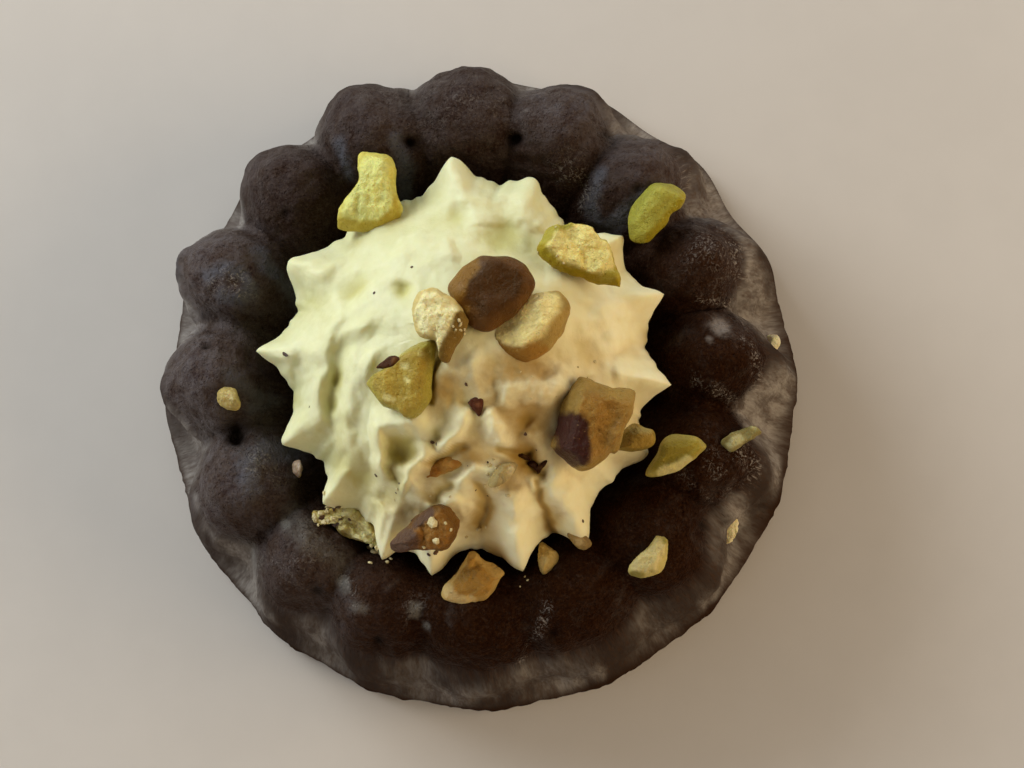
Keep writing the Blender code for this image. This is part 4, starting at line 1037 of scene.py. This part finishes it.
def glaze_material(settings):
    """Dark glaze over a fine crumb: glossy in the grooves and duller on the crests, with painted sheen,
    glints and warm light, grey patches that are partly dried bloom and partly painted sheen, and painted
    shade in the pores and at the foot.
    """
    material, tree, shader = new_material("glazed chocolate")
    glaze, crest_colour = tuple(settings.glaze), tuple(settings.crest)
    crest = steps(tree, mask_of(tree, "crest"), 0.2, 0.95)
    dry, side = mask_of(tree, "dry"), mask_of(tree, "side")
    warm = warm_side(tree, -0.4, 0.7)

    # painted sheen: the glaze is lighter as well as duller where that mask is
    base = mix(tree, maths(tree, "MULTIPLY", dry, 0.3), glaze, crest_colour)
    # painted warm light: the flutes and their blotches take a warmer tone on the warm light's side
    warm_lit_tone = mix(tree, warm, crest_colour, WARM_LIT_CREST)
    brown = mottled(tree, base, warm_lit_tone, 330.0, scaled(tree, dry, 0.55, 0.15))
    plum = mottled(tree, crest_colour, PLUM, 240.0, 0.95)
    lighter = maths(tree, "MULTIPLY", crest, scaled(tree, dry, 0.7, 0.05))
    crested = mix(tree, lighter, brown, mix(tree, warm, plum, warm_lit_tone))

    # painted sheen: the sides take a lighter base colour in place of their reflection
    sided_sheen = mix(tree, maths(tree, "MULTIPLY", side, 0.8), crested, SIDE_SHEEN_BASE)
    # painted sheen down the sides, mottled, standing in for reflections
    mottled_wall_sheen = mottled(tree, tuple(settings.wall), crest_colour, 600.0, 0.7)
    wall = ragged(tree, "wall", 200.0, 1.2, 0.5, 0.5)
    walled = mix(tree, maths(tree, "MULTIPLY", wall, 0.9), sided_sheen, mottled_wall_sheen)

    # painted sheen: bluish grey blotches where the flutes face the key light
    sheen_misted = mottled(tree, walled, SHEEN_MIST, 430.0, maths(tree, "MULTIPLY", dry, 0.75))
    grain = steps(tree, texture(tree, 2300.0, 4.0, 0.7), 0.45, 0.68)
    grained = maths(tree, "MULTIPLY", grain, scaled(tree, dry, 0.35, 0.32))
    # the grain's specks are painted warmer on the warm light's side
    grainy = mix(tree, grained, sheen_misted, mix(tree, warm, COLD_LIT_GRAIN, WARM_LIT_GRAIN))
    # painted shade: the foot is darker and redder
    foot_shaded = mix(tree, maths(tree, "MULTIPLY", mask_of(tree, "foot"), 0.85), grainy, FOOT_SHADE_COLOUR)

    # grey patches, partly bloom and partly painted sheen; those on the right are painted glints of the warm
    # light
    spot = add_node(tree, "ShaderNodeSeparateXYZ", {"Vector": place(tree)}).outputs
    right, low = steps(tree, spot["X"], 0.026, 0.03), steps(tree, spot["Y"], -0.018, -0.021)
    bloom_and_sheen_greys = mix(tree, right, mix(tree, low, tuple(settings.bloom), LOW_BLOOM_AND_SHEEN), RIGHT_BLOOM_AND_GLINT)
    bloom = ragged(tree, "bloom", 480.0, 1.1, 0.45, 1.2)
    dried = mix(tree, maths(tree, "MULTIPLY", bloom, 0.6), foot_shaded, bloom_and_sheen_greys)
    # pale specks, partly chalk and partly painted glints
    specks = steps(tree, texture(tree, 1500.0, 5.0, 0.72, 1.6), 0.5, 0.64)
    clumps = steps(tree, texture(tree, 260.0, 3.0), 0.35, 0.6)
    chalk = maths(tree, "MULTIPLY", maths(tree, "MULTIPLY", specks, clumps), mask_of(tree, "chalk"))
    chalk_and_glint_specked = mix(tree, maths(tree, "MULTIPLY", chalk, 0.8), dried, tuple(settings.chalk))
    # painted shade: the pores are near black inside
    tree.links.new(mix(tree, mask_of(tree, "pore"), chalk_and_glint_specked, PORE_SHADE_BLACK), shader["Base Color"])

    dull = maths(tree, "ADD", maths(tree, "MULTIPLY", crest, 0.1), maths(tree, "MULTIPLY", side, 0.4))
    rough = maths(tree, "ADD", maths(tree, "MULTIPLY", texture(tree, 420.0, 3.0), 0.3), dull)
    tree.links.new(maths(tree, "ADD", rough, 0.22, clamp=True), shader["Roughness"])
    sheen = maths(tree, "SUBTRACT", scaled(tree, dry, 0.035, 0.035), maths(tree, "MULTIPLY", warm, 0.02))
    sheen = maths(tree, "MULTIPLY", sheen, maths(tree, "SUBTRACT", 1.0, side))
    tree.links.new(sheen, shader["Specular IOR Level"])
    shader["Specular Tint"].default_value = (1, 0.62, 0.38, 1)

    smoother = maths(tree, "SUBTRACT", 1.0, maths(tree, "MULTIPLY", side, 0.7))
    coarse = maths(tree, "MULTIPLY", relief(tree, 430.0, 0.3), smoother)
    fine = maths(tree, "MULTIPLY", relief(tree, 1300.0, 0.5), smoother)
    crumb = settings.crumb_height / MM
    lumpy = bump(tree, coarse, crumb * 3.4, 0.9)
    tree.links.new(bump(tree, fine, crumb * 2.6, 1.0, lumpy), shader["Normal"])
    return material


class CAKE_OT_bake(bpy.types.Operator):
    """Builds the fluted chocolate cake with its glaze, its pores, and the masks of its painted sheen, glints
    and shade and of where it has dried
    """

    bl_idname = "cake.bake"
    bl_label = "Bake the cake"

    def execute(self, context):
        noise.seed_set(SEED)
        rings, across = cake_rings()
        mesh = ring_mesh("glazed_cake", rings)
        points, normals = points_of(mesh), normals_of(mesh)
        heights, run = points[:, 2], drawn_out(points)
        pores = spots(points, CAKE_PORES)
        lift = (bumps(run, GLAZE_BUMPS) - pores) * rise(heights, *BUMPS_RISE)
        set_points(mesh, points + normals * lift[:, None])
        drawn = mesh.attributes.new("run", "FLOAT_VECTOR", "POINT")
        drawn.data.foreach_set("vector", ((run - points) * MM).astype(np.float32).ravel())

        high = np.broadcast_to(lobe(across, 0.45), rings.shape[:2]).ravel()
        outer = np.hypot(points[:, 0] - MIDDLE[0], points[:, 1] - MIDDLE[1])
        around = np.degrees(np.arctan2(points[:, 1], points[:, 0]))
        side = rise(heights, *SIDE_RISE) * rise(outer, *SIDE_REACH)
        # how much painted sheen each wall gets: more where the lights fall and in the grooves
        pale = SHEEN_ALL_ROUND + sum(hump(around, *sheen_side) for sheen_side in SHEEN_SIDES)
        pale *= SHEEN_IN_GROOVE + (SHEEN_ON_RIDGE - SHEEN_IN_GROOVE) * high
        foot_shade_top = FOOT_SHADE_HEIGHT + FOOT_SHADE_FADE + hump(around, *FOOT_SHADE_MORE)
        add_mask(mesh, "side", side)
        add_mask(mesh, "wall", side * (pale + SHEEN_STREAKS_GAIN * streaks(points, WALL_SHEEN_STREAKS)))
        # where the pores are painted black as shade
        add_mask(mesh, "pore", pores / 0.8)
        add_mask(mesh, "crest", high * rise(heights, *CREST_RISE))
        # where painted shade darkens the foot
        add_mask(mesh, "foot", rise(heights, foot_shade_top, FOOT_SHADE_HEIGHT))
        # partly dull glaze and partly painted sheen
        add_mask(mesh, "dry", streaks(points, DULL_AND_SHEEN_STREAKS))
        # partly dried bloom and partly painted sheen
        add_mask(mesh, "bloom", streaks(points, BLOOM_AND_SHEEN_STREAKS) * rise(heights, *BLOOM_AND_SHEEN_RISE))
        # partly chalky glaze and partly painted glints
        chalk = streaks(points, CHALK_AND_GLINT_STREAKS) + CHALK_AND_GLINT_EVERYWHERE
        add_mask(mesh, "chalk", chalk * rise(heights, *CHALK_AND_GLINT_RISE))
        add_piece("glazed_cake", mesh, glaze_material(context.scene.cake_glaze), "glazed_chocolate", "cake")
        return {"FINISHED"}


# Cream


def cream_columns():
    """For each column of the rosette: its angle at the rim, its reach, and 1 on a point to 0 in a notch."""
    angles, reaches, ridges, blunts = [], [], [], []
    for here, after in zip(CREAM_POINTS, CREAM_POINTS[1:] + CREAM_POINTS[:1]):
        angle, reach, notch, blunt = here
        turn = (after[0] - angle) % -360
        for step in range(COLUMNS_PER_POINT):
            across = step / COLUMNS_PER_POINT
            ridge = abs(2 * across - 1) ** POINT_SHARPNESS
            tip = reach if across < 0.5 else after[1]
            angles.append(angle + turn * across)
            reaches.append(notch + (tip - notch) * ridge)
            ridges.append(ridge)
            blunts.append(blunt if across < 0.5 else after[3])
    angles, reaches, ridges, blunts = map(np.array, (angles, reaches, ridges, blunts))
    blunted = [blur(values, TIP_BLUR) for values in (reaches, ridges)]
    reaches += (blunted[0] - reaches) * blunts
    edge = ring_at(EDGE_RADIUS, np.radians(angles), 0)
    reaches += bumps(edge, EDGE_BUMPS) * (1 - 0.45 * ridges)
    return angles, reaches, blunted[1]


def blur(values, spread):
    """Values round a loop, smoothed over this many columns."""
    reach = int(spread * 3)
    weights = np.exp(-((np.arange(-reach, reach + 1) / spread) ** 2))
    weights /= weights.sum()
    return sum(weight * np.roll(values, shift) for weight, shift in zip(weights, range(-reach, reach + 1)))


def swirl(angles, share):
    """Degrees that a ridge has turned at this share of the reach."""
    most = SWIRL_EVEN + SWIRL_MORE * np.cos(np.radians(angles - SWIRL_SIDE))
    return most * fade((SWIRL_OUTER - share) / (SWIRL_OUTER - SWIRL_INNER))


def cream_height(share, ridge):
    """Height of the top of the rosette, which falls from its middle to a rim that drops in the notches."""
    starry = fade((share - STAR_FADE) / (1 - STAR_FADE))
    rim = CREAM_RIM - NOTCH_DROP * ((1 - ridge) * starry + 0.6 * (1 - starry))
    dome = rim + (CREAM_TOP - rim) * (1 - share**DOME_POWER)
    return dome + RIDGE_RELIEF * (ridge - 0.4) * fade((share - 0.6) / 0.25) * fade((1 - share) / 0.3)


def cream_rings(seats):
    """The rosette, from under its middle out over the cake's inner slope, to its rim and up the dome."""
    angles, reaches, ridges = cream_columns()
    around = np.radians(angles)
    rings = []
    for radius, seat in reversed(list(zip(CREAM_SEAT_RADII, seats))):
        rings.append(ring_at(np.minimum(radius - SEAT_GAP, reaches - RIM_GAP), around, seat + SEAT_LIFT))
    round_reach = blur(reaches, MIDDLE_BLUR)
    rim = cream_height(1.0, ridges)
    for turn in (-50, -20):
        a = math.radians(turn)
        reach, height = reaches - LIP_DROP * (1 - math.cos(a)), rim - LIP_DROP * (1 - math.sin(a))
        rings.append(ring_at(reach, around, height))
    for row in range(CREAM_ROWS):
        share = (1 - row / CREAM_ROWS) ** 0.9
        turned = np.radians(angles + swirl(angles, share))
        starry = fade((share - STAR_FADE) / (1 - STAR_FADE))
        reach = (reaches * starry + round_reach * (1 - starry)) * share
        fall = np.clip(1 - (reaches - reach) / LIP, 0, 1)
        height = cream_height(share, ridges) - LIP_DROP * (1 - np.sqrt(1 - fall**2))
        rings.append(ring_at(reach, turned, height))
    return np.array(rings) + MIDDLE


def cream_lift(points, seat_rows, columns, fold_height):
    """How far folds, hollows and bumps lift each point of the top of the cream, and a mask that is 1 in its
    creases, where shade is painted.
    """
    folds = np.zeros(len(points))
    bends = [bumps(points, ((0.8, 3.4, shift), (0.3, 1.4, shift))) for shift in (21, 35, 0)]
    bent = points + np.stack(bends, axis=1)
    uneven = 1 + CREST_UNEVEN * noise_at(points, 2.6, 17.0)
    for crest in CREAM_CRESTS:
        apart, along, left = line_distance(bent, smooth_curve(crest.line, 24))
        ends = fade(along / CREST_ENDS) * fade((1 - along) / CREST_ENDS) * (1 - END_HEIGHT) + END_HEIGHT
        steep = abs(crest.steep)
        width = CREST_GAIN * crest.width * np.where(left * crest.steep > 0, 1 - 0.6 * steep, 1 + 0.5 * steep)
        height = crest.height * CREST_GAIN * ends * uneven
        folds = np.maximum(folds, height * np.exp(-((apart / width) ** 2)))
    cracks = streaks(bent, CREAM_CRACKS)
    folds = (folds - spots(bent, CREAM_HOLLOWS) - cracks) * fold_height
    folds += bumps(points, FOLD_BUMPS)
    broken = np.minimum(spots(points, CREAM_TAN_AND_SHADE), 1)
    folds += noise_at(points, 1.1, 5.0) * (0.07 + 0.25 * broken) + noise_at(points, 0.6, 6.0) * 0.1 * broken
    folds[:seat_rows * columns] = 0
    from_middle = np.hypot(points[:, 0] - MIDDLE[0], points[:, 1] - MIDDLE[1])
    folds *= rise(from_middle, *FOLD_RADII)
    return folds, fade((0.4 - folds) / 1.5 + cracks * 0.6)


def cream_material(settings):
    """Soft cream that lets light through, painted warmer on the side of the warm light, with painted shade
    in its creases and hollows, and stained round the nuts.
    """
    material, tree, shader = new_material("whipped cream")
    # painted light: the cream, its blotches and its creases are painted warmer on the warm light's side
    side = warm_side(tree, -0.25, 0.5)
    cream = mix(tree, side, tuple(settings.cream), tuple(settings.warm))
    blotched = mottled(tree, cream, mix(tree, side, COLD_LIT_BLOTCH, WARM_LIT_BLOTCH), 170.0, 0.4)
    # painted shade: the creases and low places are darker
    crease = maths(tree, "MULTIPLY", mask_of(tree, "crease"), 0.8)
    crease_shaded = mix(tree, crease, blotched, mix(tree, side, COLD_CREASE_SHADE, WARM_CREASE_SHADE))
    # partly stain and partly painted shade in the hollows
    stain = maths(tree, "MULTIPLY", ragged(tree, "stain", 450.0, 0.7, 0.5), 0.6)
    stained_and_shaded = mix(tree, stain, crease_shaded, tuple(settings.stain))
    # partly stain and partly painted shade, less on raised folds
    tan = maths(tree, "MULTIPLY", ragged(tree, "tan", 330.0, 0.8, 0.5), 0.85)
    tree.links.new(mix(tree, tan, stained_and_shaded, tuple(settings.tan)), shader["Base Color"])
    tree.links.new(scaled(tree, texture(tree, 500.0), 0.25, 0.42), shader["Roughness"])
    lumpy = bump(tree, texture(tree, 380.0, 3.0), 0.35, 0.7)
    tree.links.new(bump(tree, relief(tree, 1100.0, 0.25), 0.06, 0.6, lumpy), shader["Normal"])
    let_light_in(shader, 0.3, (1.0, 0.75, 0.4), 1.8)
    shader["Specular IOR Level"].default_value = 0.4
    return material


class CAKE_OT_pipe(bpy.types.Operator):
    """Pipes the cream rosette, with its points, folds and hollows"""

    bl_idname = "cake.pipe"
    bl_label = "Pipe the cream"

    def execute(self, context):
        noise.seed_set(SEED)
        settings = context.scene.cake_cream
        rings, _ = cake_rings()
        cream = cream_rings(seat_heights(rings))
        mesh = ring_mesh("piped_cream", cream)
        points = points_of(mesh)
        lift, crease_shade = cream_lift(points, len(CREAM_SEAT_RADII) + 2, cream.shape[1], settings.fold_height)
        points[:, 2] += lift
        set_points(mesh, points)
        # where shade is painted in the creases
        add_mask(mesh, "crease", crease_shade)
        # partly stain and partly painted shade in the hollows
        add_mask(mesh, "stain", spots(points, CREAM_STAINS_AND_SHADE))
        # partly stain and partly painted shade, less on raised folds
        add_mask(mesh, "tan", spots(points, CREAM_TAN_AND_SHADE) * (1 - TAN_AND_SHADE_ON_CREST * rise(lift, *TAN_AND_SHADE_HEIGHTS)))
        add_piece("piped_cream", mesh, cream_material(settings), "whipped_cream", "cream")
        return {"FINISHED"}


# Pistachios


def times(colour, factor, more=0.0):
    """A lighter or a darker colour."""
    return tuple(min(1.0, value * factor + more) for value in colour)


def kernel_material(nut):
    """A broken kernel: its crumbly face, the smoother side and patches of skin, each with its own colour."""
    material, tree, shader = new_material(nut.name.replace("_", " "))
    cut, patch = ragged(tree, "cut", 600.0, 0.8, 0.42), ragged(tree, "patch", 600.0, 0.9, 0.36)
    face = mottled(tree, nut.face, times(nut.face, 0.6), 420.0, 0.55)
    side = mottled(tree, nut.side, times(nut.side, 0.6), 300.0, 0.6)
    odd = mottled(tree, nut.patch, times(nut.patch, 1.35), 500.0, 0.4)
    patched = mix(tree, patch, mix(tree, cut, side, face), odd)
    grains = maths(tree, "MULTIPLY", steps(tree, texture(tree, 1900.0, 3.0, 0.6), 0.6, 0.72), cut)
    grainy = mix(tree, maths(tree, "MULTIPLY", grains, 0.35), patched, times(nut.face, 1.25, 0.08))
    tree.links.new(grainy, shader["Base Color"])
    tree.links.new(scaled(tree, texture(tree, 900.0), 0.3, nut.roughness - 0.12), shader["Roughness"])
    fine = maths(tree, "MULTIPLY", relief(tree, 1800.0, 0.4), scaled(tree, cut, 0.75, 0.25))
    lumpy = bump(tree, relief(tree, 900.0, 0.35), 0.45, 0.75)
    tree.links.new(bump(tree, fine, 0.22, 1.0, lumpy), shader["Normal"])
    let_light_in(shader, 0.25, (1.0, 0.65, 0.2), 1.2)
    shader["Specular IOR Level"].default_value = 0.22 if nut.roughness < 0.45 else 0.12
    shader["Specular Tint"].default_value = (1, 0.85, 0.55, 1)
    shader["Coat Weight"].default_value = max(0.0, 0.5 - nut.roughness) * 0.4
    shader["Coat Roughness"].default_value = 0.15
    return material


def chipped(points, nut):
    """The points with a flat face wherever a bit of the kernel broke off."""
    chance = random.Random(nut.name)
    points = points.copy()
    for _ in range(nut.chips):
        turn, up = chance.uniform(0, math.tau), chance.uniform(*CHIP_RISES)
        out = np.array((math.cos(turn) * math.cos(up), math.sin(turn) * math.cos(up), math.sin(up)))
        reach = points @ out
        cut_at = reach.max() - chance.uniform(*CHIP_DEPTHS) * nut.thickness
        points -= np.maximum(reach - cut_at, 0)[:, None] * out * CHIP_FLATNESS
    return points


def kernel_mesh(nut, crumbliness):
    """The piece about its own middle in mm, with a mask of its broken top and one of its odd patches."""
    edge = closed_curve(nut.outline, NUT_COLUMNS)
    levels = np.array(CHUNK_LEVELS)
    shares = levels[:, 1] + (levels[:, 2] - levels[:, 1]) * nut.crown
    curve = smooth_curve(np.stack((shares, levels[:, 0]), axis=1), SIDE_ROWS)
    under = np.linspace(UNDER_SHARE, curve[0, 0], FOOT_ROWS, endpoint=False)
    over = 1 - np.arange(1, TOP_ROWS) / TOP_ROWS
    rows = [(share, -0.5) for share in under] + [(share, height) for share, height in curve]
    rows += [(curve[-1, 0] * share, 0.5 + nut.crown * SWELL * (1 - share**2)) for share in over]
    rings, cut = [], []
    for share, height in rows:
        rings.append(np.column_stack((edge * share, np.full(NUT_COLUMNS, height * nut.thickness))))
        cut.append(fade((1 - share) / max(nut.skin_rim, 0.05)) if height > 0 else 0)
    mesh = ring_mesh(nut.name, rings)
    points = points_of(mesh)
    cut = np.repeat(cut, NUT_COLUMNS).astype(float)
    turned = Vector((*nut.place, 0))
    dents = [noise.noise_vector(Vector(point) / DENT_SPREAD + turned) for point in points]
    dents = np.array(dents) * DENT_DEPTH
    if nut.crease:
        x, y, to_x, to_y, depth, width = nut.crease
        apart, _, _ = line_distance(points, ((x, y), (to_x, to_y)))
        dents[:, 2] -= depth * np.exp(-((apart / width) ** 2)) * (points[:, 2] > 0)
    set_points(mesh, chipped(points + dents, nut))
    points, normals = points_of(mesh), normals_of(mesh)
    shift = nut.place[0] + nut.place[1] * 0.37
    rough = nut.rough * crumbliness * (0.5 + 0.5 * cut)
    lift = bumps(points, [(*size, shift) for size in CUT_BUMPS]) * rough
    lift -= np.maximum(noise_at(points, 1.6, shift + 5) - LUMPS_FROM, 0) * rough * CUT_LUMPS
    set_points(mesh, points + normals * lift[:, None])
    patch = np.zeros(len(points))
    for radius, *line in nut.patches:
        apart, _, _ = line_distance(points, line if len(line) > 1 else line * 2)
        soft = max(1.2, radius * 1.1)
        patch = np.maximum(patch, 1 - fade((apart - radius + soft / 2) / soft))
    add_mask(mesh, "cut", cut)
    add_mask(mesh, "patch", patch)
    return mesh


def leaned(nut):
    """The turn that raises its sides as its lean says."""
    across, away = (math.radians(angle) for angle in nut.lean)
    return Euler((away, -across, 0)).to_matrix().to_4x4()


class CAKE_OT_lay_nuts(bpy.types.Operator):
    """Lays the fourteen larger pistachio pieces, each where its node is"""

    bl_idname = "cake.lay_nuts"
    bl_label = "Lay the pistachios"

    def execute(self, context):
        noise.seed_set(SEED)
        for nut in NUTS:
            mesh = kernel_mesh(nut, context.scene.cake_nuts.crumbliness)
            mesh.transform(leaned(nut))
            heights = points_of(mesh)[:, 2]
            low, high = (corner.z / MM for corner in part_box(nut.name))
            rest = min(low - heights.min(), high - heights.max())
            x, y = nut.place[0] + MIDDLE[0], nut.place[1] + MIDDLE[1]
            mesh.transform(Matrix.Translation(Vector((x, y, rest)) * MM))
            add_piece("dressed_" + nut.name, mesh, kernel_material(nut), nut.slot, nut.name)
        return {"FINISHED"}


class CAKE_OT_lay_bits(bpy.types.Operator):
    """Lays the small bits and flakes of pistachio on the cake and on the cream"""

    bl_idname = "cake.lay_bits"
    bl_label = "Lay the small bits"

    def execute(self, context):
        noise.seed_set(SEED)
        up = Vector((0, 0, 1))
        on_cake, on_cream = ground_of("glazed_cake"), ground_of("glazed_cake", "piped_cream")
        for bits, grounds in ((CAKE_BITS, on_cake), (CREAM_BITS, on_cream)):
            for bit in bits:
                mesh = kernel_mesh(bit, context.scene.cake_nuts.crumbliness)
                x, y = bit.place[0] + MIDDLE[0], bit.place[1] + MIDDLE[1]
                spot, normal = drop(grounds, x, y)
                turn = up.rotation_difference(normal.lerp(up, 0.4)).to_matrix().to_4x4()
                mesh.transform(Matrix.Translation((spot + up * bit.lift) * MM) @ turn)
                add_piece(bit.name, mesh, kernel_material(bit), bit.slot)
        return {"FINISHED"}


def crumb_material(name, colour, other, roughness):
    """Rough crumbs of two mixed colours."""
    material, tree, shader = new_material(name)
    tree.links.new(mottled(tree, colour, other, 900.0, 0.8), shader["Base Color"])
    tree.links.new(scaled(tree, texture(tree, 1500.0), 0.3, roughness), shader["Roughness"])
    tree.links.new(bump(tree, relief(tree, 2600.0, 0.3), 0.12), shader["Normal"])
    return material


def crumb_mesh(name, heaps, grounds, seed, flatness):
    """One mesh of many small broken lumps, each lying on the ground below it."""
    chance = random.Random(seed)
    shape = bmesh.new()
    for heap in heaps:
        for _ in range(heap.count):
            x = chance.gauss(heap.x, heap.spread / 2)
            y = chance.gauss(heap.y, heap.spread / 2)
            spot, normal = drop(grounds, x, y)
            size = heap.size * chance.uniform(0.6, 1.3)
            made = bmesh.ops.create_icosphere(shape, subdivisions=2, radius=size)["verts"]
            seat = Vector((chance.uniform(-50, 50), chance.uniform(-50, 50), 0))
            long, wide = chance.uniform(0.7, 1.5), chance.uniform(0.6, 1.1)
            stretch = Matrix.Diagonal((long, wide, flatness * chance.uniform(0.6, 1.1)))
            turn = Matrix.Rotation(chance.uniform(0, math.tau), 3, "Z")
            lay = Vector((0, 0, 1)).rotation_difference(normal).to_matrix()
            for vertex in made:
                rough = 1 + 0.5 * noise.noise(vertex.co / size * 1.6 + seat)
                shaped = lay @ turn @ stretch @ (vertex.co * rough)
                vertex.co = (shaped + spot + normal * size * flatness * 0.3) * MM
    mesh = bpy.data.meshes.new(name)
    shape.to_mesh(mesh)
    shape.free()
    return mesh


class CAKE_OT_scatter(bpy.types.Operator):
    """Scatters the loose pale crumbs and the dark flecks of skin"""

    bl_idname = "cake.scatter"
    bl_label = "Scatter the crumbs"

    def execute(self, context):
        noise.seed_set(SEED)
        names = ["glazed_cake", "piped_cream"] + ["dressed_" + nut.name for nut in NUTS]
        grounds = ground_of(*names)
        pale = crumb_mesh("pale_crumbs", PALE_CRUMBS, grounds, 3, 0.8)
        finish = crumb_material("pale crumbs", PALE_CRUMB, TAN_CRUMB, 0.4)
        add_piece("pale_crumbs", pale, finish, "cut_kernel")
        dark = crumb_mesh("dark_flecks", DARK_FLECKS, grounds, 5, 0.35)
        finish = crumb_material("dark flecks", DARK_FLECK, BROWN_FLECK, 0.35)
        add_piece("dark_flecks", dark, finish, "brown_skin")
        return {"FINISHED"}


# Stage


def floor_material(colour):
    """A plain dull floor with the faintest blotches."""
    material, tree, shader = new_material("pale floor")
    tree.links.new(mottled(tree, colour, times(colour, 0.94), 30.0, 0.5), shader["Base Color"])
    shader["Roughness"].default_value = 0.6
    return material


def add_light(name, at, size, colour, power):
    """A round soft light turned to the middle of the cake."""
    data = bpy.data.lights.new(name, "AREA")
    data.shape = "DISK"
    data.size, data.energy, data.color = size, power, colour
    light = bpy.data.objects.new(name, data)
    light.location = at
    light.rotation_euler = (Vector(LIT_SPOT) - Vector(at)).to_track_quat("-Z", "Y").to_euler()
    bpy.context.scene.collection.objects.link(light)
    return light


def surround(settings):
    """Soft light from all round: brighter and cooler low on the back left, and dim overhead."""
    world = bpy.data.worlds.new("surround")
    world.use_nodes = True
    tree = world.node_tree
    direction = add_node(tree, "ShaderNodeTexCoord").outputs["Generated"]
    side = steps(tree, along(tree, direction, BRIGHT_WAY), -0.7, 0.9)
    around = mix(tree, side, tuple(settings.dim_side), tuple(settings.bright_side))
    height = add_node(tree, "ShaderNodeSeparateXYZ", {"Vector": direction}).outputs["Z"]
    colour = mix(tree, steps(tree, height, 0.3, 0.8), around, tuple(settings.overhead))
    tree.links.new(colour, tree.nodes["Background"].inputs["Color"])
    return world


class CAKE_OT_stage(bpy.types.Operator):
    """Sets the pale floor, the soft lights and the camera"""

    bl_idname = "cake.stage"
    bl_label = "Set the stage"

    def execute(self, context):
        scene, settings = context.scene, context.scene.cake_stage
        shape = bmesh.new()
        bmesh.ops.create_grid(shape, x_segments=8, y_segments=8, size=1.5)
        mesh = bpy.data.meshes.new("floor")
        shape.to_mesh(mesh)
        shape.free()
        mesh.materials.append(floor_material(tuple(settings.floor)))
        floor = bpy.data.objects.new("floor", mesh)
        scene.collection.objects.link(floor)
        add_light("key", KEY_PLACE, KEY_SIZE, KEY_COLOUR, settings.key_power)
        fill = add_light("warm fill", FILL_PLACE, FILL_SIZE, FILL_COLOUR, settings.fill_power)
        fill.visible_glossy = False
        scene.world = surround(settings)
        scene.view_settings.view_transform = "Standard"
        data = bpy.data.cameras.new("camera")
        data.sensor_width, data.lens = SENSOR_WIDTH, FOCAL_PIXELS * SENSOR_WIDTH / PICTURE_WIDTH
        camera = bpy.data.objects.new("camera", data)
        camera.location, camera.rotation_euler = CAMERA_PLACE, CAMERA_TURN
        scene.collection.objects.link(camera)
        scene.camera = camera
        return {"FINISHED"}


class CAKE_PT_panel(bpy.types.Panel):
    """The steps of the cake, with the settings that each one reads"""

    bl_idname = "CAKE_PT_panel"
    bl_label = "Mini bundt cake"
    bl_space_type = "VIEW_3D"
    bl_region_type = "UI"
    bl_category = "Cake"

    def draw(self, context):
        for group, step_list in STEPS:
            box = self.layout.box()
            settings = getattr(context.scene, group)
            for name in settings.__annotations__:
                box.prop(settings, name)
            for step in step_list:
                box.operator(step.bl_idname)


STEPS = (
    ("cake_glaze", (CAKE_OT_bake,)),
    ("cake_cream", (CAKE_OT_pipe,)),
    ("cake_nuts", (CAKE_OT_lay_nuts, CAKE_OT_lay_bits, CAKE_OT_scatter)),
    ("cake_stage", (CAKE_OT_stage,)),
)
SETTINGS = {
    "cake_glaze": GlazeSettings,
    "cake_cream": CreamSettings,
    "cake_nuts": NutSettings,
    "cake_stage": StageSettings,
}
CLASSES = (*SETTINGS.values(), *(step for _, step_list in STEPS for step in step_list), CAKE_PT_panel)


def register():
    for item in CLASSES:
        bpy.utils.register_class(item)
    for name, settings in SETTINGS.items():
        setattr(bpy.types.Scene, name, PointerProperty(type=settings))


def unregister():
    for name in SETTINGS:
        delattr(bpy.types.Scene, name)
    for item in reversed(CLASSES):
        bpy.utils.unregister_class(item)


def main():
    register()
    bpy.ops.cake.bake()
    bpy.ops.cake.pipe()
    bpy.ops.cake.lay_nuts()
    bpy.ops.cake.lay_bits()
    bpy.ops.cake.scatter()
    bpy.ops.cake.stage()


if __name__ == "__main__":
    main()
